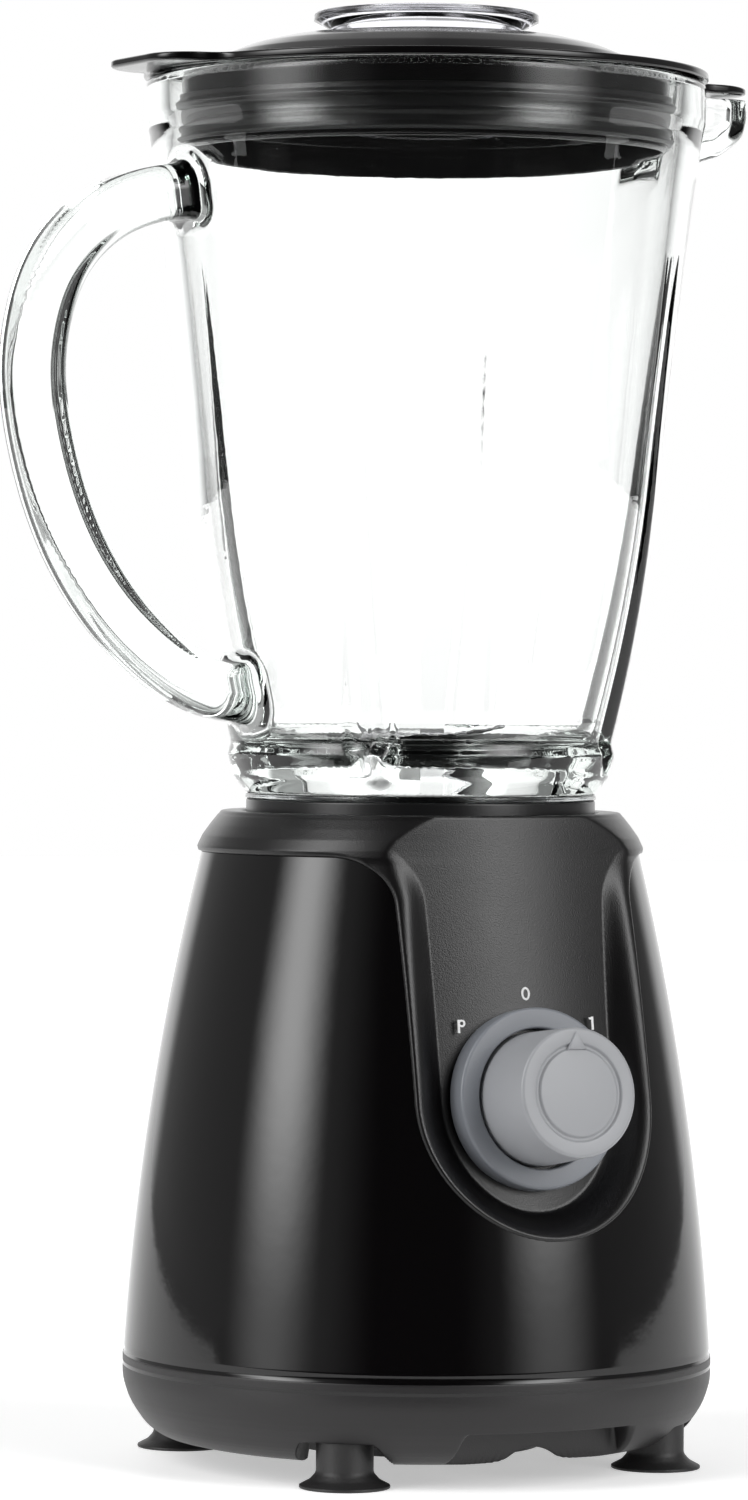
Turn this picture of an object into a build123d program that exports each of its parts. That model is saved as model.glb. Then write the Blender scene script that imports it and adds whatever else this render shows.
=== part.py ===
"""A countertop blender: motor base, glass jar with its blade unit, lid and measuring cap.

Millimetres, +Z up. The origin is on the worktop, under the axis that the base, the motor and the jar share.
The dial faces -Y, the jar's handle points to -X and its spout to +X.
"""

import os
from math import cos, radians, sin

from build123d import *

# ---- driving dimensions -------------------------------------------------------------------------------------

# motor base
shell_foot_r, shell_mid_r, shell_top_r = 77.4, 70.6, 57.6
shell_foot_z, shell_mid_z, shell_top_z = 24.4, 92.0, 159.4
shell_wall = 2.4
cowl_proud = 0.8                      # the cowl stands this far out of the shell
cowl_rim_z, cowl_top_z, cowl_top_r = 159.6, 170.3, 51.8
cowl_wall = 2.2
well_r, well_floor_z = 47.0, 150.0    # the well that takes the jar's collar
tray_floor_z, tray_rim_z, tray_wall = 6.0, 24.0, 2.4
deck_z, deck_inner_r, deck_outer_r = 12.0, 35.0, 60.0    # raised ring of the tray's underside
arch_width, arch_y, arch_z = 48.0, 62.0, 15.0    # cut-outs of the tray's lower edge, front and back
seam_gap = 0.2

# dial
dial_z, panel_y, panel_tilt = 98.0, -59.8, 8.2
panel_r, panel_frame_r, panel_flare = 28.3, 35.0, 12.0
bezel_r, bezel_hole_r, bezel_height = 23.3, 18.0, 5.0
knob_foot_r, knob_face_r, knob_height = 17.2, 16.4, 24.0
mark_ring_r, mark_height, mark_thick = 27.2, 3.4, 0.25
knob_shaft_r = 3.0

# feet
foot_spacing, foot_cup_r, foot_stem_r = 92.0, 11.65, 7.35
foot_pocket_r, foot_pocket_z = 12.0, 12.0
foot_neck_r, foot_barb_r = 2.9, 4.2
grille_flange_r, grille_plug_r, grille_low_z, grille_top_z = 33.0, 29.7, 4.0, 8.4

# screws
screw_r, screw_head_r, screw_hole_r = 1.45, 3.1, 1.5
screw_ring_r, tray_screw_angles, screw_seat_z = 66.0, (20, 160, 200, 340), 13.0

# motor
shaft_r, bush_clearance = 4.0, 0.05
shaft_bottom_z, shaft_top_z = 45.0, 158.0
stator_x, stator_y, stator_wall = 70.0, 58.0, 5.0
stack_bottom_z, stack_top_z = 95.0, 120.0
armature_r, air_gap = 21.9, 0.6
slot_count, slot_r = 12, 1.3
bracket_thick = 3.0
lower_bracket_z, upper_bracket_z = 67.0, 131.0
commutator_r, commutator_z = 11.0, 74.0
fan_r, fan_z, fan_height, fan_blade_count = 30.0, 50.0, 10.0, 9
motor_post_x, motor_mount_height = 43.0, 4.0

# dog clutch between motor and blades
dog_count, dog_r, dog_hub_r, dog_width = 6, 11.0, 7.0, 3.6
dog_clearance = 0.6
drive_coupler_z, drive_coupler_top_z = 153.6, 162.0
driven_coupler_z, driven_coupler_top_z, driven_coupler_r = 155.0, 166.5, 15.5

# jar
collar_r, collar_foot_z, collar_top_z = 45.9, 150.3, 173.3
seal_top_z = 175.0
jar_mouth_z, jar_mouth_r = 361.8, 73.6
jar_floor_z, jar_floor_hole_r = 187.0, 34.0
rib_count, rib_top_z, rib_foot_r, rib_tip_r = 4, 315.0, 5.7, 0.45
groove_foot_r, groove_tip_r = 3.7, 0.35
handle_r = 10.0
spout_half_width, spout_wall = 13.0, 3.5

# blade unit
blade_shaft_bottom_z, blade_shaft_top_z = 163.0, 187.5
blade_thick, blade_hub_z = 1.2, 181.6
blade_reach, blade_half_width = 28.0, 7.0

# lid and cap
lid_z, lid_edge_r, lid_edge_thick = 362.0, 74.2, 2.2
lid_skirt_r, lid_skirt_z, lid_wall = 63.4, 336.8, 2.2
lid_plug_inner_r = 55.0
lid_tongue_x, lid_tongue_half_width = 86.5, 20.0
lid_spout_x, lid_spout_half_width = 94.5, 15.5
lid_crown_r, lid_crown_z = 31.0, 373.4
lid_hole_r, lid_corner_r = 22.6, 9.0
cap_flange_r, cap_seat_r, cap_seat_z, cap_top_z = 29.6, 24.6, 373.7, 379.6
cap_plug_r, cap_plug_z, cap_wall = 21.6, 348.0, 2.0

# cord inlet
inlet_z, inlet_bore_r, inlet_barrel_r, inlet_flange_r = 38.0, 3.6, 5.2, 6.9


# ---- shared shapes ------------------------------------------------------------------------------------------


def turned(*points, mode=Mode.ADD):
    """A solid turned about the Z axis from a closed outline of (radius, height) points."""
    with BuildSketch(Plane.XZ) as outline:
        with BuildLine():
            Polyline(*points, close=True)
        make_face()
    revolve(outline.sketch, Axis.Z, mode=mode)


def drum(radius, low, high, mode=Mode.ADD):
    """An upright cylinder between two heights, at each current location."""
    with BuildSketch(Plane.XY.offset(low)) as disc:
        Circle(radius)
    extrude(disc.sketch, amount=high - low, mode=mode)


def tube(outer, inner, low, high, mode=Mode.ADD):
    """An upright tube between two heights."""
    with BuildSketch(Plane.XY.offset(low)) as ring:
        Circle(outer)
        Circle(inner, mode=Mode.SUBTRACT)
    extrude(ring.sketch, amount=high - low, mode=mode)


def shell_curve(grow):
    """The bowed side of the motor base, moved out by grow."""
    return ThreePointArc(
        (shell_foot_r + grow, shell_foot_z),
        (shell_mid_r + grow, shell_mid_z),
        (shell_top_r + grow, shell_top_z),
    )


def panel_frame(grow):
    """The U-shaped outline of the front panel's frame, which flares into the shoulder at its top."""
    half, flare = panel_frame_r + grow, panel_flare - grow
    top, above = cowl_rim_z - grow, cowl_top_z + 10
    with BuildSketch(Plane.XZ) as outline:
        with BuildLine():
            ThreePointArc((-half, dial_z), (0, dial_z - half), (half, dial_z))
            Line((half, dial_z), (half, top - flare))
            ThreePointArc(
                (half, top - flare),
                (half + flare * (1 - cos(radians(45))), top - flare * (1 - sin(radians(45)))),
                (half + flare, top),
            )
            Polyline((half + flare, top), (half + flare, above), (-half - flare, above), (-half - flare, top))
            ThreePointArc(
                (-half - flare, top),
                (-half - flare * (1 - cos(radians(45))), top - flare * (1 - sin(radians(45)))),
                (-half, top - flare),
            )
            Line((-half, top - flare), (-half, dial_z))
        make_face()
    return outline.sketch


# the dial's own plane: its origin is the knob's axis on the panel, its Z points out of the panel
dial_plane = Plane(
    origin=(0, panel_y, dial_z),
    x_dir=(1, 0, 0),
    z_dir=(0, -cos(radians(panel_tilt)), sin(radians(panel_tilt))),
)


def panel_recess(grow, slope):
    """The hollow in front of the panel: a U about the knob that opens outwards."""
    half, above = panel_r + grow, 95.0
    with BuildSketch(dial_plane.offset(-grow)) as outline:
        with BuildLine():
            ThreePointArc((-half, 0), (0, -half), (half, 0))
            Polyline((half, 0), (half, above), (-half, above), (-half, 0))
        make_face()
    extrude(outline.sketch, amount=40, taper=-slope)


def on_dial(shape, name):
    """A piece made about the Z axis, moved onto the dial."""
    with BuildPart() as placed:
        with Locations(dial_plane.location):
            add(shape.part)
    placed.part.label = name
    return placed


def save(piece, name):
    """Label one finished piece and write it."""
    piece.part.label = name
    export_step(piece.part, f"parts/{name}.step")


os.makedirs("parts", exist_ok=True)
upright = (Align.CENTER, Align.CENTER, Align.MIN)
foot_lines = (-foot_spacing / 2, foot_spacing / 2)
foot_places = [(x, y) for x in foot_lines for y in foot_lines]
screw_places = [(screw_ring_r * cos(radians(a)), screw_ring_r * sin(radians(a))) for a in tray_screw_angles]

# ---- motor base: shell, cowl and tray -----------------------------------------------------------------------

# glossy outer shell, open above and below, with the front cut away for the cowl's panel
boss_low_z, boss_rib_z, boss_high_z, boss_r = tray_rim_z + 0.4, 30.5, 48.0, 4.5

with BuildPart() as housing_shell:
    with BuildSketch(Plane.XZ) as wall_outline:
        with BuildLine():
            outer_side = shell_curve(0)
            inner_side = shell_curve(-shell_wall)
            Line(outer_side @ 1, inner_side @ 1)
            Line(outer_side @ 0, inner_side @ 0)
        make_face()
    revolve(axis=Axis.Z)
    # screw bosses, tied to the wall by ribs
    for angle in tray_screw_angles:
        along = Plane.XY.rotated((0, 0, angle))
        with BuildSketch(along.offset(boss_rib_z)) as boss_rib:
            with Locations((screw_ring_r + 4.3, 0)):
                Rectangle(8.8, 2.4)
        extrude(boss_rib.sketch, amount=boss_high_z - boss_rib_z)
        with BuildSketch(along.offset(boss_low_z)) as boss:
            with Locations((screw_ring_r, 0)):
                Circle(boss_r)
        extrude(boss.sketch, amount=boss_high_z - boss_low_z)
        with BuildSketch(along.offset(boss_low_z)) as pilot:
            with Locations((screw_ring_r, 0)):
                Circle(screw_hole_r)
        extrude(pilot.sketch, amount=20, mode=Mode.SUBTRACT)
    extrude(panel_frame(seam_gap), amount=100, mode=Mode.SUBTRACT)
    # hole and spot face for the cord inlet, at the back
    with BuildSketch(Plane.XZ.offset(-shell_foot_r - 5)) as inlet_hole:
        with Locations((0, inlet_z)):
            Circle(inlet_barrel_r + 0.05)
    extrude(inlet_hole.sketch, amount=15, mode=Mode.SUBTRACT)
    with BuildSketch(Plane.XZ.offset(-shell_foot_r - 5)) as inlet_face:
        with Locations((0, inlet_z)):
            Circle(inlet_flange_r + 0.2)
    extrude(inlet_face.sketch, amount=7.0, mode=Mode.SUBTRACT)
save(housing_shell, "housing_shell")

# the hollow under the cowl's skin, which leaves the well's wall and floor and the panel's frame
with BuildPart() as cowl_hollow:
    with BuildSketch(Plane.XZ) as hollow_outline:
        with BuildLine():
            side = shell_curve(cowl_proud - shell_wall)
            Polyline(
                side @ 1,
                (53.6, 164.0),
                (50.8, 167.6),
                (well_r + cowl_wall, 167.6),
                (well_r + cowl_wall, well_floor_z - tray_wall),
                (0, well_floor_z - tray_wall),
                (0, shell_foot_z),
                side @ 0,
            )
        make_face()
    revolve(axis=Axis.Z)
with BuildPart() as panel_backing:
    panel_recess(cowl_wall, 22)
with BuildPart() as panel_hollow:
    panel_recess(0, 22)

post_z = upper_bracket_z + bracket_thick + motor_mount_height
with BuildPart() as upper_cowl:
    with BuildSketch(Plane.XZ) as skin_outline:
        with BuildLine():
            side = shell_curve(cowl_proud)
            Polyline(side @ 1, (0, shell_top_z), (0, shell_foot_z), side @ 0)
        make_face()
    revolve(axis=Axis.Z)
    extrude(panel_frame(0), amount=100, mode=Mode.INTERSECT)
    turned(
        (0, well_floor_z - tray_wall),
        (well_r + cowl_wall, well_floor_z - tray_wall),
        (well_r + cowl_wall, shell_top_z),
        (shell_top_r - 2.0, shell_top_z),
        (shell_top_r - 2.0, cowl_rim_z),
        (shell_top_r + 1.2, cowl_rim_z),
        (shell_top_r + 1.0, 161.0),
        (57.1, 163.6),
        (55.0, 166.5),
        (53.3, 169.1),
        (cowl_top_r, cowl_top_z),
        (0, cowl_top_z),
    )
    add(panel_hollow.part, mode=Mode.SUBTRACT)
    hollow = cowl_hollow.part - panel_backing.part
    add(hollow, mode=Mode.SUBTRACT)
    drum(well_r, well_floor_z, cowl_top_z + 1, mode=Mode.SUBTRACT)
    # shaft opening with a raised collar that keeps spills out of the motor
    drum(12.6, well_floor_z, well_floor_z + 3)
    drum(10.0, well_floor_z - 5, well_floor_z + 5, mode=Mode.SUBTRACT)
    # posts that the motor hangs from
    with BuildSketch(Plane.XY.offset(post_z)) as motor_posts:
        with Locations((-motor_post_x, 0), (motor_post_x, 0)):
            Circle(boss_r)
            Circle(screw_hole_r, mode=Mode.SUBTRACT)
    extrude(motor_posts.sketch, amount=well_floor_z - post_z - 1)
    # hole for the switch's neck
    with Locations(dial_plane.location):
        Cylinder(6.0, 3 * cowl_wall, mode=Mode.SUBTRACT)
save(upper_cowl, "upper_cowl")


def tray_arch(direction, grow):
    """A round-cornered arch in the tray's lower edge, at the back (direction 1) or the front (-1)."""
    side = Plane(
        origin=(0, direction * (arch_y - grow), 0),
        x_dir=(-direction, 0, 0),
        z_dir=(0, direction, 0),
    )
    arch_low, arch_corner = -20.0, 7.0
    with BuildSketch(side) as arch:
        with Locations((0, (arch_z + grow + arch_low) / 2)):
            RectangleRounded(arch_width + 2 * grow, arch_z + grow - arch_low, arch_corner)
    return arch.sketch


# the hollow inside the tray, which leaves the foot pockets, the screw bosses and the arches standing
with BuildPart() as tray_hollow:
    turned(
        (0, deck_z + tray_wall),
        (deck_outer_r + tray_wall, deck_z + tray_wall),
        (deck_outer_r + tray_wall, tray_floor_z + tray_wall),
        (68.0, 10.4),
        (71.4, 13.4),
        (73.2, 16.4),
        (74.4, 20.0),
        (74.7, tray_rim_z + 1),
        (0, tray_rim_z + 1),
    )
    with Locations(*[(x, y, 0) for x, y in foot_places]):
        Cylinder(foot_pocket_r + tray_wall, foot_pocket_z + tray_wall, align=upright, mode=Mode.SUBTRACT)
    with Locations(*[(x, y, 0) for x, y in screw_places]):
        Cylinder(boss_r, tray_rim_z, align=upright, mode=Mode.SUBTRACT)
    for direction in (1, -1):
        extrude(tray_arch(direction, tray_wall), amount=30, mode=Mode.SUBTRACT)

with BuildPart() as bottom_tray:
    turned(
        (0, tray_floor_z),
        (62.0, tray_floor_z),
        (67.5, 6.9),
        (71.2, 9.3),
        (73.6, 11.8),
        (75.4, 14.9),
        (76.5, 18.0),
        (77.2, 21.2),
        (77.4, tray_rim_z),
        (0, tray_rim_z),
    )
    add(tray_hollow.part, mode=Mode.SUBTRACT)
    # locating lip inside the shell
    tube(74.4, 72.6, 16.4, 28.0)
    with Locations(*[(x, y, 0) for x, y in foot_places]):
        Cylinder(foot_pocket_r, foot_pocket_z, align=upright, mode=Mode.SUBTRACT)
        Cylinder(foot_neck_r + 0.1, 20, align=upright, mode=Mode.SUBTRACT)
    with Locations(*[(x, y, 0) for x, y in screw_places]):
        Cylinder(screw_hole_r + 0.3, 40, align=upright, mode=Mode.SUBTRACT)
        Cylinder(screw_head_r + 0.3, screw_seat_z, align=upright, mode=Mode.SUBTRACT)
    for direction in (1, -1):
        extrude(tray_arch(direction, 0), amount=30, mode=Mode.SUBTRACT)
    # deck raised between the rim and the boss round the air outlet
    tube(deck_outer_r, deck_inner_r, 0, deck_z, mode=Mode.SUBTRACT)
    drum(grille_plug_r + 0.3, 0, deck_z + tray_wall, mode=Mode.SUBTRACT)
save(bottom_tray, "bottom_tray")

# air outlet under the motor: a flanged disc with rings of slots
with BuildPart() as vent_grille:
    drum(grille_flange_r, grille_low_z, tray_floor_z)
    drum(grille_plug_r, tray_floor_z, grille_top_z)
    for ring_r, slots in ((12.0, 6), (23.0, 12)):
        with BuildSketch(Plane.XY.offset(2)) as slot_ring:
            with PolarLocations(ring_r, slots):
                SlotOverall(9.0, 3.0)
        extrude(slot_ring.sketch, amount=8, mode=Mode.SUBTRACT)
save(vent_grille, "vent_grille")

# one suction foot: thin flared cup, stem, neck through the tray and a barb above it
with BuildPart() as suction_foot:
    turned(
        (9.6, 0),
        (foot_cup_r, 0),
        (foot_cup_r, 0.7),
        (foot_stem_r + 1.6, 2.2),
        (foot_stem_r, 3.6),
        (foot_stem_r, foot_pocket_z),
        (foot_neck_r, foot_pocket_z),
        (foot_neck_r, foot_pocket_z + tray_wall),
        (foot_barb_r, foot_pocket_z + tray_wall),
        (2.6, foot_pocket_z + tray_wall + 3),
        (0, foot_pocket_z + tray_wall + 3),
        (0, 1.7),
        (6.5, 1.4),
    )
with BuildPart() as suction_feet:
    with Locations(*[(x, y, 0) for x, y in foot_places]):
        add(suction_foot.part)
save(suction_feet, "suction_feet")

with BuildPart() as tray_screw:
    turned(
        (0, 10.6),
        (screw_head_r - 0.5, 10.6),
        (screw_head_r, 11.2),
        (screw_head_r, screw_seat_z),
        (screw_r, screw_seat_z),
        (screw_r, 42.0),
        (0, 43.0),
    )
    with BuildSketch(Plane.XY.offset(10.6)) as cross:
        Rectangle(3.4, 0.8)
        Rectangle(0.8, 3.4)
    extrude(cross.sketch, amount=1.2, mode=Mode.SUBTRACT)
with BuildPart() as tray_screws:
    with Locations(*[(x, y, 0) for x, y in screw_places]):
        add(tray_screw.part)
save(tray_screws, "tray_screws")

# bush that the mains cord enters by
with BuildPart() as cord_gland:
    with BuildSketch(Plane.XZ.offset(-68.0)) as barrel:
        with Locations((0, inlet_z)):
            Circle(inlet_barrel_r)
    extrude(barrel.sketch, amount=-10.0)
    with BuildSketch(Plane.XZ.offset(-75.4)) as flange:
        with Locations((0, inlet_z)):
            Circle(inlet_flange_r)
    extrude(flange.sketch, amount=-2.6)
    with BuildSketch(Plane.XZ.offset(-60.0)) as bore:
        with Locations((0, inlet_z)):
            Circle(inlet_bore_r)
    extrude(bore.sketch, amount=-30.0, mode=Mode.SUBTRACT)
save(cord_gland, "cord_gland")

# terminal block on the tray's deck
with BuildPart() as terminal_block:
    block_z = deck_z + tray_wall
    with Locations((0, 49, block_z)):
        Box(32, 13, 12, align=upright)
    with BuildSketch(Plane.XY.offset(block_z + 12)) as screw_wells:
        with Locations((0, 49)):
            with GridLocations(10, 7, 3, 2):
                Circle(2.0)
    extrude(screw_wells.sketch, amount=-5, mode=Mode.SUBTRACT)
save(terminal_block, "terminal_block")

# ---- dial ---------------------------------------------------------------------------------------------------

with BuildPart() as bezel_shape:
    turned(
        (bezel_hole_r, 0),
        (bezel_r, 0),
        (bezel_r, bezel_height - 0.8),
        (bezel_r - 0.8, bezel_height),
        (bezel_hole_r + 0.5, bezel_height),
        (bezel_hole_r, bezel_height - 0.5),
    )
dial_bezel = on_dial(bezel_shape, "dial_bezel")
save(dial_bezel, "dial_bezel")

# hollow knob with a hub for the shaft, a ringed face and a raised pointer
with BuildPart() as knob_shape:
    turned(
        (knob_shaft_r, 3.0),
        (6.0, 3.0),
        (6.0, knob_height - 2.6),
        (knob_face_r - 1.8, knob_height - 2.6),
        (knob_foot_r - 2.0, 1.2),
        (knob_foot_r, 1.2),
        (knob_face_r, knob_height - 1.0),
        (knob_face_r - 1.0, knob_height),
        (12.4, knob_height),
        (12.0, knob_height - 0.5),
        (11.4, knob_height - 0.5),
        (11.0, knob_height),
        (0, knob_height),
        (0, knob_height - 6),
        (knob_shaft_r, knob_height - 6),
    )
    with BuildSketch(Plane.XY.offset(knob_height)) as pointer:
        with BuildLine():
            Polyline((-2.7, 10.6), (2.7, 10.6), (0, 15.2), close=True)
        make_face()
    extrude(pointer.sketch, amount=0.6)
control_knob = on_dial(knob_shape, "control_knob")
save(control_knob, "control_knob")

with BuildPart() as shaft_shape:
    drum(knob_shaft_r, -14.0, knob_height - 6.0)
knob_shaft = on_dial(shaft_shape, "knob_shaft")
save(knob_shaft, "knob_shaft")

# selector switch behind the panel, with its tabs
with BuildPart() as switch_shape:
    with Locations((0, 0, -cowl_wall)):
        Box(26, 26, 16, align=(Align.CENTER, Align.CENTER, Align.MAX))
    drum(5.6, -cowl_wall, 0.8)
    with Locations((0, 0, -cowl_wall - 16)):
        with GridLocations(9, 10, 2, 2):
            Box(6.3, 0.8, 7, align=(Align.CENTER, Align.CENTER, Align.MAX))
    drum(knob_shaft_r + bush_clearance, -14.2, 2.0, mode=Mode.SUBTRACT)
rotary_switch = on_dial(switch_shape, "rotary_switch")
save(rotary_switch, "rotary_switch")

# the dial's marks, thin raised print: P to the left, 0 above and 1 to the right
mark_side = mark_ring_r * sin(radians(45))
with BuildPart() as mark_shape:
    with BuildSketch() as print_outline:
        with Locations((0, mark_ring_r)):
            Ellipse(0.36 * mark_height, 0.5 * mark_height)
            Ellipse(0.2 * mark_height, 0.34 * mark_height, mode=Mode.SUBTRACT)
        with Locations((mark_side, mark_side)):
            Rectangle(0.17 * mark_height, mark_height)
        with Locations((mark_side - 0.16 * mark_height, mark_side + 0.36 * mark_height)):
            Rectangle(0.24 * mark_height, 0.15 * mark_height)
        with Locations((-mark_side - 0.26 * mark_height, mark_side)):
            Rectangle(0.17 * mark_height, mark_height)
        with Locations((-mark_side, mark_side + 0.22 * mark_height)):
            RectangleRounded(0.6 * mark_height, 0.56 * mark_height, 0.26 * mark_height)
            RectangleRounded(0.3 * mark_height, 0.25 * mark_height, 0.1 * mark_height, mode=Mode.SUBTRACT)
    extrude(amount=mark_thick)
dial_marks = on_dial(mark_shape, "dial_marks")
save(dial_marks, "dial_marks")

# ---- motor --------------------------------------------------------------------------------------------------

bore_r = armature_r + air_gap
shoe_r = bore_r + 3.5

# stacked laminations with two pole shoes on necks
with BuildPart() as stator_core:
    with BuildSketch(Plane.XY.offset(stack_bottom_z)) as lamination:
        RectangleRounded(stator_x, stator_y, 6)
        RectangleRounded(stator_x - 2 * stator_wall, stator_y - 2 * stator_wall, 4, mode=Mode.SUBTRACT)
        for side_x in (-1, 1):
            with Locations((side_x * (stator_x / 2 - stator_wall - 4), 0)):
                Rectangle(12, 22)
        with BuildSketch(mode=Mode.PRIVATE) as shoe_cut:
            Circle(shoe_r)
            Rectangle(18, 2 * shoe_r, mode=Mode.SUBTRACT)
            Circle(shoe_r + 1, mode=Mode.INTERSECT)
        add(shoe_cut.sketch)
        Circle(bore_r, mode=Mode.SUBTRACT)
    extrude(amount=stack_top_z - stack_bottom_z)
save(stator_core, "stator_core")

# a coil round each pole's neck
with BuildPart() as field_windings:
    for side_x in (-1, 1):
        with Locations((side_x * 28.3, 0, (stack_bottom_z + stack_top_z) / 2)):
            Box(3.2, 38, stack_top_z - stack_bottom_z + 14)
            Box(3.2, 22.6, stack_top_z - stack_bottom_z + 0.6, mode=Mode.SUBTRACT)
save(field_windings, "field_windings")


def motor_bracket(plate_z, leg_low_z, leg_high_z, hole_r, plate_length, wing_width):
    """A bridge across the motor: a plate with a hole for its bush, and two legs beside the stator."""
    with Locations((0, 0, plate_z)):
        Box(plate_length, 22, bracket_thick, align=upright)
        if wing_width:
            Box(16, wing_width, bracket_thick, align=upright)
    for side_x in (-1, 1):
        with Locations((side_x * (stator_x + bracket_thick) / 2, 0, leg_low_z)):
            Box(bracket_thick, 22, leg_high_z - leg_low_z, align=upright)
    drum(hole_r, plate_z - 5, plate_z + 8, mode=Mode.SUBTRACT)


lower_bush_r, upper_bush_r = 7.0, 8.0
lower_plate_x, upper_plate_x = stator_x + 2 * bracket_thick, 2 * motor_post_x + 12
with BuildPart() as lower_motor_bracket:
    motor_bracket(lower_bracket_z, lower_bracket_z, stack_bottom_z + 7, lower_bush_r, lower_plate_x, 60)
save(lower_motor_bracket, "lower_motor_bracket")

upper_bracket_top = upper_bracket_z + bracket_thick
with BuildPart() as upper_motor_bracket:
    motor_bracket(upper_bracket_z, stack_top_z - 7, upper_bracket_top, upper_bush_r, upper_plate_x, 0)
    with Locations((-motor_post_x, 0, upper_bracket_z), (motor_post_x, 0, upper_bracket_z)):
        Cylinder(screw_hole_r + 0.2, 20, mode=Mode.SUBTRACT)
save(upper_motor_bracket, "upper_motor_bracket")

with BuildPart() as lower_bearing:
    tube(lower_bush_r, shaft_r + bush_clearance, lower_bracket_z - 3, lower_bracket_z + bracket_thick + 1.5)
save(lower_bearing, "lower_bearing")

with BuildPart() as upper_bearing:
    tube(upper_bush_r, shaft_r + bush_clearance, upper_bracket_z - 3, upper_bracket_z + bracket_thick + 3)
save(upper_bearing, "upper_bearing")

# brush holders on the lower bracket, each with its carbon brush
brush_z = commutator_z + 7.0
with BuildPart() as brush_holders:
    for side_y in (-1, 1):
        with Locations((0, side_y * 20.5, lower_bracket_z + bracket_thick)):
            Box(12, 16, 16, align=upright)
        with Locations((0, side_y * 20.5, brush_z)):
            Box(7, 16, 6, mode=Mode.SUBTRACT)
save(brush_holders, "brush_holders")

with BuildPart() as carbon_brushes:
    for side_y in (-1, 1):
        with Locations((0, side_y * (commutator_r + 0.2 + 7), brush_z)):
            Box(6.8, 14, 5.8)
save(carbon_brushes, "carbon_brushes")

with BuildPart() as motor_mounts:
    mount_low = upper_bracket_z + bracket_thick
    with BuildSketch(Plane.XY.offset(mount_low)) as mount_rings:
        with Locations((-motor_post_x, 0), (motor_post_x, 0)):
            Circle(5.5)
            Circle(screw_hole_r + 0.2, mode=Mode.SUBTRACT)
    extrude(amount=motor_mount_height)
save(motor_mounts, "motor_mounts")

with BuildPart() as motor_screw:
    turned(
        (0, upper_bracket_z - 2.6),
        (screw_head_r - 0.5, upper_bracket_z - 2.6),
        (screw_head_r, upper_bracket_z - 2.0),
        (screw_head_r, upper_bracket_z),
        (screw_r, upper_bracket_z),
        (screw_r, 145.0),
        (0, 146.0),
    )
with BuildPart() as motor_screws:
    with Locations((-motor_post_x, 0, 0), (motor_post_x, 0, 0)):
        add(motor_screw.part)
save(motor_screws, "motor_screws")

# rotor
with BuildPart() as motor_shaft:
    drum(shaft_r, shaft_bottom_z, shaft_top_z)
    chamfer(motor_shaft.edges().filter_by(GeomType.CIRCLE), 0.5)
save(motor_shaft, "motor_shaft")

with BuildPart() as rotor_core:
    with BuildSketch(Plane.XY.offset(stack_bottom_z)) as armature:
        Circle(armature_r)
        Circle(shaft_r, mode=Mode.SUBTRACT)
        with PolarLocations(armature_r - 2.2, slot_count):
            SlotOverall(7.0, 2 * slot_r, mode=Mode.SUBTRACT)
    extrude(amount=stack_top_z - stack_bottom_z)
save(rotor_core, "rotor_core")

with BuildPart() as rotor_windings:
    for low, high in ((commutator_z + 16.5, stack_bottom_z), (stack_top_z, stack_top_z + 4.6)):
        with BuildSketch(Plane.XY.offset(low)) as end_turns:
            Circle(19.5)
            Circle(shaft_r + 1.5, mode=Mode.SUBTRACT)
        extrude(end_turns.sketch, amount=high - low)
save(rotor_windings, "rotor_windings")

with BuildPart() as commutator:
    tube(commutator_r, shaft_r, commutator_z, commutator_z + 16)
    with BuildSketch(Plane.XY.offset(commutator_z + 1)) as bar_gaps:
        with PolarLocations(commutator_r, 2 * slot_count):
            Rectangle(1.2, 0.5)
    extrude(bar_gaps.sketch, amount=14, mode=Mode.SUBTRACT)
save(commutator, "commutator")

with BuildPart() as cooling_fan:
    tube(7.0, shaft_r, fan_z, fan_z + fan_height)
    tube(fan_r, shaft_r, fan_z, fan_z + 1.6)
    with BuildSketch(Plane.XY.offset(fan_z + 1.6)) as fan_blades:
        with PolarLocations((7.0 + fan_r) / 2 - 0.4, fan_blade_count):
            Rectangle(fan_r - 7.0, 1.5)
    extrude(fan_blades.sketch, amount=fan_height - 1.6)
save(cooling_fan, "cooling_fan")

with BuildPart() as fan_nut:
    with BuildSketch(Plane.XY.offset(fan_z - 4.0)) as nut_outline:
        RegularPolygon(7.0, 6)
        Circle(shaft_r, mode=Mode.SUBTRACT)
    extrude(amount=4.0)
save(fan_nut, "fan_nut")


def dog_outline(low, grow):
    """The clutch's star at a height: a hub with its dogs."""
    with BuildSketch(Plane.XY.offset(low)) as star:
        Circle(dog_hub_r + grow)
        with PolarLocations((dog_r + grow) / 2, dog_count):
            Rectangle(dog_r + grow, dog_width + 2 * grow)
    return star.sketch


with BuildPart() as drive_coupler:
    extrude(dog_outline(drive_coupler_z, 0), amount=drive_coupler_top_z - drive_coupler_z)
    drum(shaft_r, drive_coupler_z - 1, shaft_top_z, mode=Mode.SUBTRACT)
save(drive_coupler, "drive_coupler")

# ---- jar: collar, seal, glass, bush -------------------------------------------------------------------------

hub_r, hub_top_z, bushing_r = 11.0, 178.0, 6.0
collar_inner_r, collar_plate_z = collar_r - 2.6, collar_top_z - 3.0
stiffener_low_z = collar_foot_z + 6

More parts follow.
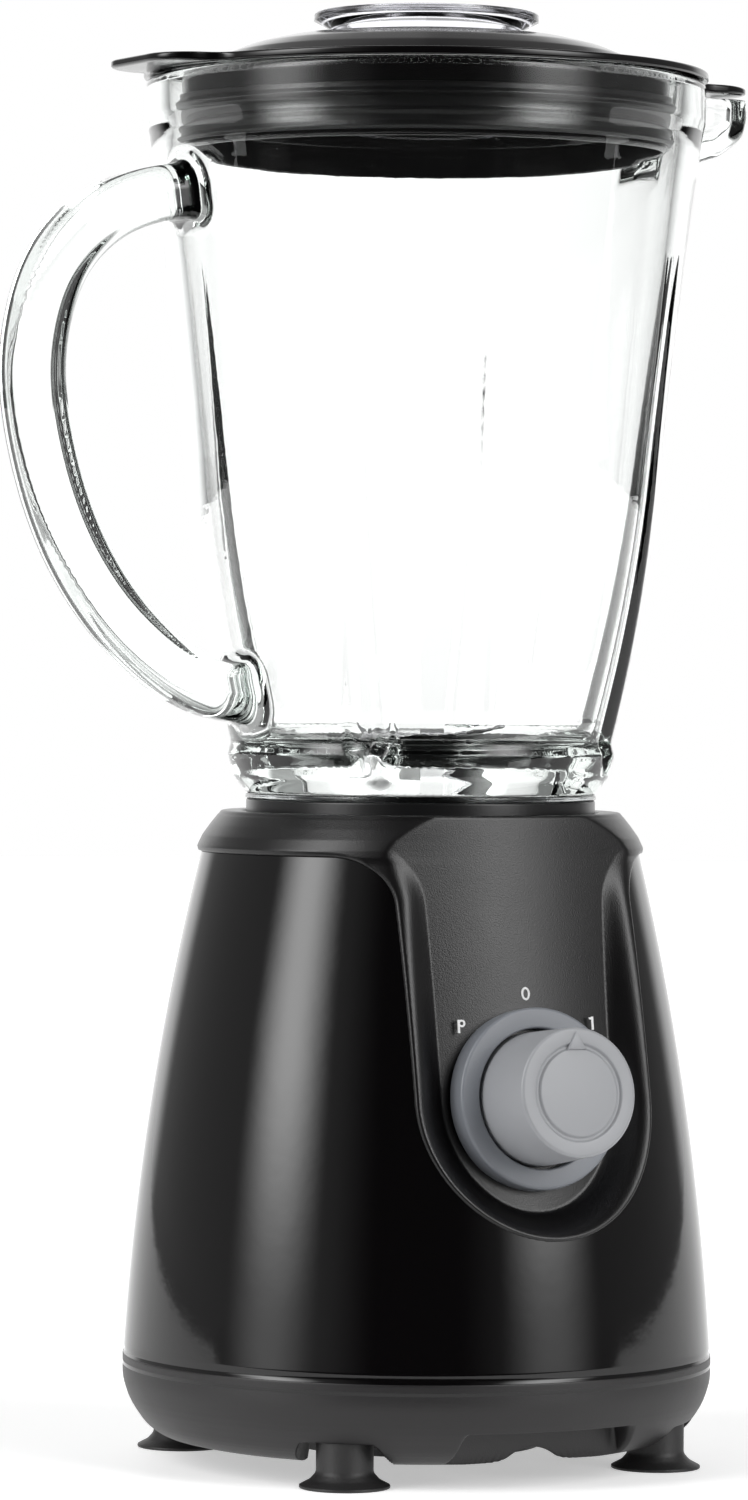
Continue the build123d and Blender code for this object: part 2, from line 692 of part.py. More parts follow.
# black collar that stands in the well, with the plate that closes the glass from below
with BuildPart() as jar_collar:
    tube(collar_r, collar_inner_r, collar_foot_z, collar_top_z)
    drum(collar_r - 1, collar_plate_z, collar_top_z)
    drum(jar_floor_hole_r - 0.3, collar_top_z, collar_top_z + 3.4)
    drum(hub_r, driven_coupler_top_z + 1.0, hub_top_z)
    drum(bushing_r, collar_foot_z, hub_top_z + 1, mode=Mode.SUBTRACT)
    # stiffening ribs under the plate
    with BuildSketch(Plane.XY.offset(stiffener_low_z)) as stiffeners:
        with PolarLocations((hub_r + collar_inner_r) / 2 + 3, 8):
            Rectangle(collar_inner_r - hub_r - 7, 2.0)
    extrude(stiffeners.sketch, amount=collar_plate_z - stiffener_low_z)
save(jar_collar, "jar_collar")

with BuildPart() as jar_seal:
    tube(45.8, jar_floor_hole_r + 0.4, collar_top_z, seal_top_z)
save(jar_seal, "jar_seal")

with BuildPart() as blade_bushing:
    tube(bushing_r, shaft_r + bush_clearance, driven_coupler_top_z + 1.0, hub_top_z)
save(blade_bushing, "blade_bushing")

with BuildPart() as shaft_seal:
    tube(hub_r - 1.5, shaft_r + 0.1, hub_top_z, hub_top_z + 1.8)
save(shaft_seal, "shaft_seal")

# the space inside the jar, from its open foot to its mouth
with BuildPart() as jar_space:
    with BuildSketch(Plane.XZ) as inside_outline:
        with BuildLine():
            floor = Polyline((0, 170), (jar_floor_hole_r, 170), (jar_floor_hole_r, 184.0), (37.0, jar_floor_z))
            heel = ThreePointArc(floor @ 1, (43.6, 189.6), (46.4, 196.0))
            low_wall = ThreePointArc(heel @ 1, (53.6, 230.0), (57.6, 262.0))
            high_wall = ThreePointArc(low_wall @ 1, (61.9, 305.0), (65.6, 338.0))
            Polyline(high_wall @ 1, (66.6, 345.0), (67.4, jar_mouth_z + 1), (0, jar_mouth_z + 1), (0, 170))
        make_face()
    revolve(axis=Axis.Z)

# body of the glass before it is hollowed: foot, waist and flaring wall up to the rim's bead
with BuildPart() as glass_blank:
    with BuildSketch(Plane.XZ) as glass_outline:
        with BuildLine():
            Polyline(
                (0, seal_top_z), (46.0, seal_top_z), (49.4, 179.4), (51.0, 185.6), (50.8, 187.4), (50.0, 188.4)
            )
            low_side = ThreePointArc((50.0, 188.4), (57.4, 222.0), (62.6, 262.0))
            high_side = ThreePointArc(low_side @ 1, (67.2, 305.0), (72.0, 342.0))
            Polyline(
                high_side @ 1,
                (73.0, 347.0),
                (jar_mouth_r, 352.0),
                (jar_mouth_r, jar_mouth_z - 1.0),
                (jar_mouth_r - 1.0, jar_mouth_z),
                (0, jar_mouth_z),
                (0, seal_top_z),
            )
        make_face()
    revolve(axis=Axis.Z)
with BuildPart() as glass_body:
    add(glass_blank.part)
    add(jar_space.part, mode=Mode.SUBTRACT)

# loop handle: a round bar that leaves the wall near the rim and returns above the foot
with BuildPart() as glass_handle:
    with BuildLine() as handle_path:
        low_sweep = TangentArc((-46, 0, 199.0), (-84, 0, 220.0), tangent=(-0.96, 0, 0.28))
        low_bend = TangentArc(low_sweep @ 1, (-105, 0, 249.0), tangent=low_sweep % 1)
        back = TangentArc(low_bend @ 1, (-110.5, 0, 291.0), tangent=low_bend % 1)
        top_bend = TangentArc(back @ 1, (-93.0, 0, 321.5), tangent=back % 1)
        TangentArc(top_bend @ 1, (-60, 0, 331.5), tangent=top_bend % 1)
    with BuildSketch(Plane(origin=handle_path.line @ 0, z_dir=handle_path.line % 0)) as bar:
        Circle(handle_r)
    sweep(bar.sketch, path=handle_path.line)
    add(jar_space.part, mode=Mode.SUBTRACT)

# the channel that is cut through the rim into the spout
with BuildPart() as pouring_channel:
    with BuildSketch(Plane.XZ) as channel_side:
        with BuildLine():
            Polyline(
                (55, 347.0),
                (72.0, 347.5),
                (85.0, 350.5),
                (90.0, 354.5),
                (91.0, jar_mouth_z + 1),
                (55, jar_mouth_z + 1),
                close=True,
            )
        make_face()
    extrude(channel_side.sketch, amount=spout_half_width - spout_wall, both=True)

# pouring spout on the rim, part of the same glass
with BuildPart() as jar_spout:
    with BuildSketch(Plane.XZ) as spout_side:
        with BuildLine():
            Polyline(
                (68, 338.0),
                (73.5, 343.0),
                (87.0, 346.5),
                (92.5, 350.5),
                (94.5, 356.0),
                (94.5, jar_mouth_z),
                (68, jar_mouth_z),
                close=True,
            )
        make_face()
    extrude(spout_side.sketch, amount=spout_half_width, both=True)
    add(glass_blank.part, mode=Mode.SUBTRACT)
    drum(jar_mouth_r, jar_mouth_z - 2, jar_mouth_z, mode=Mode.SUBTRACT)
    add(pouring_channel.part, mode=Mode.SUBTRACT)
save(jar_spout, "jar_spout")

# pressed ribs inside the jar, each behind a groove outside
inner_foot, inner_tip = Vector(44.6, 0, jar_floor_z), Vector(61.9, 0, rib_top_z)
outer_foot, outer_tip = Vector(51.6, 0, jar_floor_z + 1.6), Vector(68.9, 0, rib_top_z)


def long_wedge(foot, tip, foot_size, tip_size):
    """A four-sided bar, edge towards the axis, that tapers from one place on the wall to another."""
    with BuildPart() as bar:
        for centre, size in ((foot, foot_size), (tip, tip_size)):
            with BuildSketch(Plane(origin=centre, x_dir=(0, 1, 0), z_dir=tip - foot)):
                RegularPolygon(size, 4)
        loft()
    return bar.part


rib_shape = long_wedge(inner_foot, inner_tip, rib_foot_r, rib_tip_r)
groove_shape = long_wedge(outer_foot, outer_tip, groove_foot_r, groove_tip_r)

with BuildPart() as glass_jar:
    add(glass_body.part)
    with PolarLocations(0, rib_count, start_angle=45):
        add(rib_shape)
        add(groove_shape, mode=Mode.SUBTRACT)
    add(glass_handle.part)
    add(pouring_channel.part, mode=Mode.SUBTRACT)
save(glass_jar, "glass_jar")

# ---- blade unit ---------------------------------------------------------------------------------------------

with BuildPart() as blade_shaft:
    drum(shaft_r, blade_shaft_bottom_z, blade_shaft_top_z)
    chamfer(blade_shaft.edges().filter_by(GeomType.CIRCLE), 0.4)
save(blade_shaft, "blade_shaft")

with BuildPart() as driven_coupler:
    drum(driven_coupler_r, driven_coupler_z, driven_coupler_top_z)
    extrude(
        dog_outline(driven_coupler_z, dog_clearance),
        amount=drive_coupler_top_z + dog_clearance - driven_coupler_z,
        mode=Mode.SUBTRACT,
    )
    drum(shaft_r, driven_coupler_z, driven_coupler_top_z + 1, mode=Mode.SUBTRACT)
    top_circles = driven_coupler.edges().filter_by(GeomType.CIRCLE).group_by(Axis.Z)[-1]
    chamfer(top_circles.sort_by(SortBy.RADIUS)[-1], 1.5)
save(driven_coupler, "driven_coupler")

with BuildPart() as blade_washer:
    tube(7.5, shaft_r, hub_top_z + 2.2, blade_hub_z)
save(blade_washer, "blade_washer")


def blade_pair(hub_z, rise, turn):
    """Two blades bent from one strip: flat at the hub, with tips that rise or drop, turned about the shaft."""
    bend_r, tip_r = 0.42 * blade_reach, blade_reach
    side = Plane.XZ.rotated((0, 0, turn))
    with BuildSketch(side) as strip:
        with BuildLine():
            Polyline(
                (-tip_r, hub_z + rise),
                (-bend_r, hub_z),
                (bend_r, hub_z),
                (tip_r, hub_z + rise),
                (tip_r, hub_z + rise + blade_thick),
                (bend_r, hub_z + blade_thick),
                (-bend_r, hub_z + blade_thick),
                (-tip_r, hub_z + rise + blade_thick),
                close=True,
            )
        make_face()
    extrude(strip.sketch, amount=blade_half_width, both=True)
    with BuildSketch(Plane.XY.offset(hub_z - 15).rotated((0, 0, turn))) as plan:
        with BuildLine():
            Polyline(
                (-tip_r, -0.6),
                (-bend_r, -blade_half_width),
                (bend_r, -blade_half_width),
                (tip_r, -0.2 * blade_half_width),
                (tip_r, 0.6),
                (bend_r, blade_half_width),
                (-bend_r, blade_half_width),
                (-tip_r, 0.2 * blade_half_width),
                close=True,
            )
        make_face()
    extrude(plan.sketch, amount=40, mode=Mode.INTERSECT)
    drum(shaft_r, hub_z - 15, hub_z + 15, mode=Mode.SUBTRACT)


with BuildPart() as lower_blades:
    blade_pair(blade_hub_z, -2.6, 20)
save(lower_blades, "lower_blades")

with BuildPart() as upper_blades:
    blade_pair(blade_hub_z + blade_thick, 9.0, 110)
save(upper_blades, "upper_blades")

with BuildPart() as blade_nut:
    nut_z = blade_hub_z + 2 * blade_thick
    with BuildSketch(Plane.XY.offset(nut_z)) as nut_side:
        RegularPolygon(7.0, 6)
    extrude(amount=blade_shaft_top_z + 1.6 - nut_z)
    drum(shaft_r, nut_z, blade_shaft_top_z, mode=Mode.SUBTRACT)
save(blade_nut, "blade_nut")

# ---- lid, gasket and measuring cap --------------------------------------------------------------------------

lid_edge_top = lid_z + lid_edge_thick
with BuildPart() as lid_blank:
    with BuildSketch(Plane.XY.offset(lid_z)) as edge_plan:
        Circle(lid_edge_r)
        with Locations((-lid_tongue_x + 20, 0)):
            RectangleRounded(40, 2 * lid_tongue_half_width, lid_corner_r)
        with Locations((lid_spout_x - 20, 0)):
            RectangleRounded(40, 2 * lid_spout_half_width, lid_corner_r)
    extrude(amount=lid_edge_thick)
    turned(
        (0, lid_z),
        (57.5, lid_z),
        (57.0, lid_edge_top),
        (55.2, 366.6),
        (52.0, 368.6),
        (47.0, 370.4),
        (39.0, 372.4),
        (lid_crown_r, lid_crown_z),
        (0, lid_crown_z),
    )
with BuildPart() as lid:
    add(lid_blank.part)
    turned(
        (0, lid_z),
        (lid_plug_inner_r, lid_z),
        (54.0, 363.6),
        (51.0, 366.0),
        (46.0, 368.0),
        (38.6, 370.0),
        (lid_crown_r, lid_crown_z - lid_wall),
        (0, lid_crown_z - lid_wall),
        mode=Mode.SUBTRACT,
    )
    # rim of the hole that the measuring cap plugs
    tube(lid_hole_r + 2.0, lid_hole_r, lid_z, lid_crown_z)
    drum(lid_hole_r, lid_z - 2, lid_crown_z + 3, mode=Mode.SUBTRACT)
save(lid, "lid")

# plug under the lid: the skirt that goes into the jar's mouth and carries the gasket
with BuildPart() as lid_plug:
    turned(
        (61.0 - lid_wall, lid_skirt_z),
        (61.0, lid_skirt_z),
        (lid_skirt_r - 1.2, 342.0),
        (lid_skirt_r, 343.0),
        (lid_skirt_r, lid_z),
        (lid_plug_inner_r, lid_z),
        (lid_plug_inner_r, lid_z - 1.6),
        (61.0, 356.0),
        (61.0, 343.0),
    )
save(lid_plug, "lid_plug")

# ribbed gasket round the skirt
with BuildPart() as lid_gasket:
    turned(
        (lid_skirt_r, 344.4),
        (lid_skirt_r + 1.0, 344.4),
        (lid_skirt_r + 1.9, 345.4),
        (lid_skirt_r + 1.0, 346.6),
        (lid_skirt_r + 1.0, 348.4),
        (lid_skirt_r + 2.2, 349.4),
        (lid_skirt_r + 1.0, 350.6),
        (lid_skirt_r + 1.0, 352.4),
        (lid_skirt_r + 2.4, 353.4),
        (lid_skirt_r + 1.0, 354.6),
        (lid_skirt_r + 1.0, 356.0),
        (lid_skirt_r, 356.0),
    )
save(lid_gasket, "lid_gasket")

# clear cup with a flange, open above
with BuildPart() as measuring_cap:
    turned(
        (0, cap_plug_z),
        (cap_plug_r - 1.6, cap_plug_z),
        (cap_plug_r, cap_seat_z - 6),
        (cap_plug_r, cap_seat_z),
        (cap_seat_r, cap_seat_z),
        (cap_flange_r, cap_top_z - 2.2),
        (cap_flange_r, cap_top_z),
        (cap_plug_r - cap_wall, cap_top_z),
        (cap_plug_r - cap_wall, cap_seat_z - 6),
        (cap_plug_r - 1.6 - cap_wall, cap_plug_z + cap_wall),
        (0, cap_plug_z + cap_wall),
    )
save(measuring_cap, "measuring_cap")
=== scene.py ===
"""Looks of the countertop blender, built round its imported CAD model.

Lengths in this script are millimetres unless a name ends in _m; put() turns them into the frame's metres.
"""

import math

import bpy
import numpy as np
from mathutils import Matrix, Vector


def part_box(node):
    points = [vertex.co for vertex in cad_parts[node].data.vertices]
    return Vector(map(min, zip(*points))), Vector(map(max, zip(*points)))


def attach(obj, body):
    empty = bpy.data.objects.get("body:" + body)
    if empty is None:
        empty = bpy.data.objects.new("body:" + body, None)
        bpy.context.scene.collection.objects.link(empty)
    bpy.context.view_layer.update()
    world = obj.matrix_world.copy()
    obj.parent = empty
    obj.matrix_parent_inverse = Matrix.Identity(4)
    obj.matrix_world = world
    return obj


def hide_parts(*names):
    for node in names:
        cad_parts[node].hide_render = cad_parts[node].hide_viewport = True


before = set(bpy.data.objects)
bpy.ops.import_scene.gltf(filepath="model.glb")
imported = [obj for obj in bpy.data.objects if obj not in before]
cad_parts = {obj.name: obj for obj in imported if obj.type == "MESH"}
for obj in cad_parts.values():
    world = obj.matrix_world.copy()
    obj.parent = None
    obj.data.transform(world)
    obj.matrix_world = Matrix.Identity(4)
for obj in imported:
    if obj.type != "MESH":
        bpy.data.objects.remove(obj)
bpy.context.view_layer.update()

MM = 0.001
PI = math.pi


# ---- places read from the frame, in millimetres -------------------------------------------------------------


def span(node):
    """Lowest and highest corner of a CAD node, in millimetres."""
    low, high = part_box(node)
    return np.array(low) / MM, np.array(high) / MM


shell_low, shell_high = span("housing_shell")
cowl_high = span("upper_cowl")[1]
tray_low, tray_high = span("bottom_tray")
jar_low, jar_high = span("glass_jar")
lid_low = span("lid")[0]
cap_low, cap_high = span("measuring_cap")
collar_low, collar_high = span("jar_collar")
feet_high = span("suction_feet")[1]

shell_foot_z, shell_top_z = shell_low[2], shell_high[2]
shell_foot_r = shell_high[0]
shell_mid_z, shell_mid_r, shell_top_r = 92.0, 70.6, 57.6
cowl_top_z, cowl_top_r = cowl_high[2], 51.8
cowl_rim_z, cowl_rim_r = 159.6, cowl_high[0]
cowl_proud = 0.8
well_r, well_floor_z = 47.0, 150.0
dial_z, panel_y, panel_tilt, panel_curve = 98.0, -59.7, math.radians(8.2), 150.0
frame_half, panel_half, flare = 35.0, 28.3, 12.0
foot_cup_r = 11.65
foot_offset = feet_high[0] - foot_cup_r


# ---- mesh helpers -------------------------------------------------------------------------------------------


def put(name, verts, faces, material, body, replaces=(), sharp=40, normals=None):
    """A smooth-shaded piece from millimetre points, riding on a body. Edges sharper than `sharp` degrees stay crisp."""
    mesh = bpy.data.meshes.new(name)
    mesh.from_pydata((np.asarray(verts, float) * MM).tolist(), [], [tuple(int(i) for i in f) for f in faces])
    mesh.validate()
    mesh.materials.append(material)
    piece = bpy.data.objects.new(name, mesh)
    bpy.context.scene.collection.objects.link(piece)
    mesh.polygons.foreach_set("use_smooth", [True] * len(mesh.polygons))
    if sharp:
        mesh.set_sharp_from_angle(angle=math.radians(sharp))
    if normals is not None:
        mesh.normals_split_custom_set_from_vertices(normals.tolist())
    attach(piece, body)
    if replaces:
        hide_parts(*replaces)
    return piece


def rounded(points, closed=True):
    """An outline whose corners are arcs. Each point is (r, z) or (r, z, corner radius)."""
    out, count = [], len(points)
    for i, point in enumerate(points):
        here = np.array(point[:2], float)
        radius = point[2] if len(point) > 2 else 0.0
        if radius <= 0 or (not closed and i in (0, count - 1)):
            out.append(here)
            continue
        before = np.array(points[i - 1][:2], float) - here
        after = np.array(points[(i + 1) % count][:2], float) - here
        len_b, len_a = np.linalg.norm(before), np.linalg.norm(after)
        before, after = before / len_b, after / len_a
        half = math.acos(max(-1, min(1, float(before @ after)))) / 2
        if half > PI / 2 - 0.02:
            out.append(here)
            continue
        reach = min(radius / math.tan(half), 0.49 * len_b, 0.49 * len_a)
        true_r = reach * math.tan(half)
        middle = (before + after) / np.linalg.norm(before + after)
        centre = here + middle * (true_r / math.sin(half))
        start, end = here + before * reach - centre, here + after * reach - centre
        turn = math.atan2(start[0] * end[1] - start[1] * end[0], float(start @ end))
        steps = max(3, int(abs(turn) / 0.22))
        for k in range(steps + 1):
            a = turn * k / steps
            out.append(centre + np.array([
                start[0] * math.cos(a) - start[1] * math.sin(a),
                start[0] * math.sin(a) + start[1] * math.cos(a)]))
    return np.array(out)


def lathe(profile, segments=192, closed=True, centre=(0, 0)):
    """Points and faces of a profile of (r, z) turned about Z."""
    profile = np.asarray(profile, float)
    count = len(profile)
    angle = np.arange(segments) * 2 * PI / segments
    r, z = profile[:, 0][:, None], profile[:, 1][:, None]
    verts = np.stack([r * np.cos(angle) + centre[0], r * np.sin(angle) + centre[1], z + 0 * angle], -1).reshape(-1, 3)
    faces = []
    for i in range(count if closed else count - 1):
        j = (i + 1) % count
        for k in range(segments):
            m = (k + 1) % segments
            faces.append((i * segments + k, i * segments + m, j * segments + m, j * segments + k))
    return weld_axis(verts, faces)


def weld_axis(verts, faces):
    """Join the points that lie on the axis and drop the faces that this closes up."""
    keys, remap, kept = {}, [], []
    for p in verts:
        key = (round(p[0], 4), round(p[1], 4), round(p[2], 4))
        if key not in keys:
            keys[key] = len(kept)
            kept.append(p)
        remap.append(keys[key])
    cleaned = []
    for f in faces:
        ring = [remap[i] for i in f]
        ring = [v for n, v in enumerate(ring) if v != ring[n - 1]]
        if len(set(ring)) == len(ring) >= 3:
            cleaned.append(tuple(ring))
    return np.array(kept), cleaned


def grid_faces(rows, columns):
    """Quads of a grid of points, closed round its columns."""
    faces = []
    for i in range(rows - 1):
        for k in range(columns):
            m = (k + 1) % columns
            a, b = i * columns, (i + 1) * columns
            faces.append((a + k, a + m, b + m, b + k))
    return faces


def circle_through(start, middle, end):
    """Centre and radius of the circle through three points."""
    (x1, y1), (x2, y2), (x3, y3) = start, middle, end
    d = 2 * (x1 * (y2 - y3) + x2 * (y3 - y1) + x3 * (y1 - y2))
    ux = ((x1**2 + y1**2) * (y2 - y3) + (x2**2 + y2**2) * (y3 - y1) + (x3**2 + y3**2) * (y1 - y2)) / d
    uy = ((x1**2 + y1**2) * (x3 - x2) + (x2**2 + y2**2) * (x1 - x3) + (x3**2 + y3**2) * (x2 - x1)) / d
    return ux, uy, math.hypot(x1 - ux, y1 - uy)


def smooth_step(low, high, x):
    """0 below low, 1 above high, and a smooth rise between them."""
    t = np.clip((x - low) / (high - low), 0, 1)
    return t * t * (3 - 2 * t)


# ---- materials ----------------------------------------------------------------------------------------------


def material(name, colour, roughness, metallic=0.0, ior=1.5, grain=None, mottle=0.0, transmission=0.0,
             bevel=0.0):
    """A Principled material with its own fine surface: grain is (size in mm, strength), mottle varies roughness."""
    made = bpy.data.materials.new(name)
    made.use_nodes = True
    tree = made.node_tree
    shader = tree.nodes["Principled BSDF"]
    shader.inputs["Base Color"].default_value = (*colour, 1)
    shader.inputs["Roughness"].default_value = roughness
    shader.inputs["Metallic"].default_value = metallic
    shader.inputs["IOR"].default_value = ior
    shader.inputs["Transmission Weight"].default_value = transmission
    coords = tree.nodes.new("ShaderNodeTexCoord")
    if mottle:
        cloud = tree.nodes.new("ShaderNodeTexNoise")
        cloud.inputs["Scale"].default_value = 90
        cloud.inputs["Detail"].default_value = 6
        tree.links.new(coords.outputs["Object"], cloud.inputs["Vector"])
        spread = tree.nodes.new("ShaderNodeMapRange")
        spread.inputs["To Min"].default_value = roughness - mottle
        spread.inputs["To Max"].default_value = roughness + mottle
        tree.links.new(cloud.outputs["Fac"], spread.inputs["Value"])
        tree.links.new(spread.outputs["Result"], shader.inputs["Roughness"])
    last = None
    if bevel:
        last = tree.nodes.new("ShaderNodeBevel")
        last.samples = 6
        last.inputs["Radius"].default_value = bevel * MM
    if grain:
        noise = tree.nodes.new("ShaderNodeTexNoise")
        noise.inputs["Scale"].default_value = 1 / (grain[0] * MM)
        noise.inputs["Detail"].default_value = 3
        tree.links.new(coords.outputs["Object"], noise.inputs["Vector"])
        bump = tree.nodes.new("ShaderNodeBump")
        bump.inputs["Strength"].default_value = grain[1]
        bump.inputs["Distance"].default_value = grain[0] * MM * 0.4
        tree.links.new(noise.outputs["Fac"], bump.inputs["Height"])
        if last:
            tree.links.new(last.outputs["Normal"], bump.inputs["Normal"])
        last = bump
    if last:
        tree.links.new(last.outputs["Normal"], shader.inputs["Normal"])
    return made


gloss_black = material("gloss_black_plastic", (0.0014, 0.0011, 0.0013), 0.07, grain=(9.0, 0.008), mottle=0.015)
satin_black = material("satin_black_plastic", (0.0024, 0.0021, 0.0024), 0.3, grain=(0.35, 0.4), mottle=0.04)
tray_black = material("tray_black_plastic", (0.006, 0.0052, 0.0058), 0.42, grain=(0.4, 0.3), mottle=0.04)
lid_black = material("lid_black_plastic", (0.002, 0.0016, 0.0019), 0.14, grain=(3.0, 0.01), mottle=0.03)
collar_black = material("collar_black_plastic", (0.006, 0.006, 0.0065), 0.3, grain=(1.0, 0.05), mottle=0.05)
bezel_grey = material("bezel_grey_plastic", (0.20, 0.212, 0.235), 0.38, grain=(0.5, 0.1), mottle=0.04)
knob_grey = material("knob_grey_plastic", (0.335, 0.342, 0.36), 0.36, grain=(0.5, 0.08), mottle=0.04)
print_white = material("white_print", (0.9, 0.9, 0.9), 0.5, grain=(0.3, 0.1))
rubber = material("black_rubber", (0.012, 0.0115, 0.0118), 0.5, grain=(0.8, 0.25), mottle=0.06)
gasket_rubber = material("gasket_rubber", (0.01, 0.0098, 0.0102), 0.3, grain=(0.8, 0.1), mottle=0.05)
steel = material("ground_steel", (0.62, 0.62, 0.63), 0.24, metallic=1.0, grain=(0.6, 0.15), mottle=0.08)
plated = material("plated_steel", (0.5, 0.5, 0.5), 0.3, metallic=1.0, grain=(0.6, 0.12), mottle=0.08, bevel=0.2)
lamination = material("stacked_laminations", (0.2, 0.2, 0.21), 0.45, metallic=0.9, grain=(0.8, 0.3), mottle=0.1,
    bevel=0.2)
copper = material("enamelled_copper", (0.56, 0.22, 0.08), 0.3, metallic=0.9, grain=(0.7, 0.5), mottle=0.1, bevel=0.5)
bronze = material("sintered_bronze", (0.5, 0.32, 0.14), 0.42, metallic=1.0, grain=(0.4, 0.3), mottle=0.08, bevel=0.2)
carbon = material("pressed_carbon", (0.03, 0.03, 0.032), 0.6, grain=(0.3, 0.3), mottle=0.06, bevel=0.2)
beige = material("beige_terminal_plastic", (0.5, 0.44, 0.33), 0.45, grain=(0.6, 0.1), mottle=0.04, bevel=0.3)
inner_black = material("inner_black_plastic", (0.02, 0.02, 0.021), 0.45, grain=(0.6, 0.1), mottle=0.05, bevel=0.3)


def clear(name, colour, tint, density, ior, ripple):
    """A clear solid: a refracting surface with slight ripples, and a tint that deepens with thickness."""
    made = material(name, colour, 0.0, ior=ior, transmission=1.0, grain=ripple)
    tree = made.node_tree
    absorb = tree.nodes.new("ShaderNodeVolumeAbsorption")
    absorb.inputs["Color"].default_value = (*tint, 1)
    absorb.inputs["Density"].default_value = density
    tree.links.new(absorb.outputs["Volume"], tree.nodes["Material Output"].inputs["Volume"])
    return made


jar_glass = clear("jar_glass", (1.0, 1.0, 1.0), (0.55, 0.82, 0.68), 5.0, 1.52, (14.0, 0.004))
cap_plastic = clear("cap_clear_plastic", (0.98, 0.98, 1.0), (0.6, 0.62, 0.85), 8.0, 1.49, (10.0, 0.004))
seal_clear = clear("seal_clear_silicone", (0.97, 0.98, 0.98), (0.7, 0.75, 0.75), 20.0, 1.41, (2.0, 0.05))


# ---- motor base: shell --------------------------------------------------------------------------------------


def bow(z, grow=0.0):
    """Radius of the base's bowed side at a height: the arc through its foot, middle and top."""
    ux, uy, radius = circle_through(
        (shell_foot_r, shell_foot_z), (shell_mid_r, shell_mid_z), (shell_top_r, shell_top_z))
    return ux + np.sqrt(radius**2 - (np.asarray(z, float) - uy) ** 2) + grow


def frame_depth(x, z):
    """Distance inside the U-shaped outline of the front frame; negative outside it."""
    px = np.abs(x)
    straight_top = cowl_rim_z - flare
    bottom = frame_half - np.hypot(px, z - dial_z)
    side = frame_half - px
    bend = np.hypot(px - frame_half - flare, z - straight_top) - flare
    above = z - cowl_rim_z
    d = np.where(z < dial_z, bottom, side)
    d = np.where((z > straight_top) & (px < frame_half + flare), bend, d)
    return np.where((px >= frame_half + flare) | (z > cowl_rim_z + flare), above, d)


def outline_place(angle, r, z):
    """The front-view place of a point on the base, for frame_depth: behind the front quarter it counts as far aside."""
    across = np.sin(angle + PI / 2)
    ahead = np.cos(angle + PI / 2)
    return np.where(ahead > 0.2, r * across, 500.0), z


shell_segments = 720


def build_shell():
    """The gloss shell: one skin with a stepped lip above the seam, cut away behind the cowl's frame."""
    rows = [
        (shell_foot_r - 2.4, shell_foot_z), (shell_foot_r - 0.5, shell_foot_z),
        (shell_foot_r - 0.12, shell_foot_z + 0.15), (shell_foot_r, shell_foot_z + 0.5),
        (shell_foot_r - 0.05, shell_foot_z + 3.2), (shell_foot_r - 0.35, shell_foot_z + 3.7),
        (float(bow(shell_foot_z + 4.4)) - 0.25, shell_foot_z + 4.4),
        (float(bow(shell_foot_z + 5.4)), shell_foot_z + 5.4), ]
    outer = [(float(bow(z)), z) for z in np.linspace(shell_foot_z + 6.2, shell_top_z, 200)]
    inner = [(float(bow(z)) - 2.4, z) for z in np.linspace(shell_top_z, shell_foot_z, 60)]
    profile = np.array(rows + outer + inner)
    verts, faces = lathe(profile, shell_segments)
    angle = np.arctan2(verts[:, 1], verts[:, 0])
    x, z = outline_place(angle, np.hypot(verts[:, 0], verts[:, 1]), verts[:, 2])
    inside = frame_depth(x, z) > 0.9
    kept = [f for f in faces if not all(inside[list(f)])]
    # round hole for the cord bush at the back
    bush = (np.hypot(verts[:, 0], verts[:, 2] - 38.0) < 5.0) & (verts[:, 1] > 0)
    kept = [f for f in kept if not all(bush[list(f)])]
    return put("housing_shell_skin", verts, kept, gloss_black, "base", ["housing_shell"], sharp=50)


build_shell()


# ---- motor base: cowl ---------------------------------------------------------------------------------------


def cowl_surface(angle, z):
    """Radius of the cowl: the shoulder and frame stand proud of the shell, and the panel is sunk inside the frame."""
    shoulder_z = np.array([0, cowl_rim_z, 161.2, 163.8, 166.6, 169.0, cowl_top_z])
    shoulder_r = np.array([0, cowl_rim_r, 58.4, 57.2, 55.2, 53.3, cowl_top_r + 0.15])
    skin = bow(np.minimum(z, shell_top_z), cowl_proud)
    over = np.interp(z, shoulder_z, shoulder_r)
    join = smooth_step(cowl_rim_z - 4, cowl_rim_z + 0.5, z)
    outer = np.where(z > cowl_rim_z, over, skin * (1 - join) + join * np.maximum(skin, cowl_rim_r))
    x, zz = outline_place(angle, outer, z)
    depth = frame_depth(x, zz)
    # rounded lip that dips into the shell along the frame's edge
    lip = np.clip(1 - depth / 1.1, 0, 1.6)
    lip_drop = 0.9 * (1 - np.sqrt(np.maximum(1 - np.minimum(lip, 1) ** 2, 0)))
    outer = outer - lip_drop - np.where(lip > 1, (lip - 1) * 3.0, 0)
    # panel: a slightly bowed plane that leans back
    lean = -panel_y - (z - dial_z) * math.tan(panel_tilt)
    front = np.cos(angle + PI / 2)
    side = np.sin(angle + PI / 2)
    bowed = lean - (np.clip(outer * side, -45, 45) ** 2) / (2 * panel_curve)
    panel = np.where(front > 0.3, bowed / np.maximum(front, 0.3), 500.0)
    slope_width = frame_half - panel_half - 0.9
    w = np.clip((depth - 0.9) / slope_width, 0, 1)
    eased = w - 0.06 * np.sin(2 * PI * w)
    sunk = outer * (1 - eased) + panel * eased
    # soft minimum keeps the crease crisp but not razor sharp
    gap = outer - sunk
    return outer - 0.5 * (gap + np.sqrt(gap**2 + 0.12)) + 0.17, depth


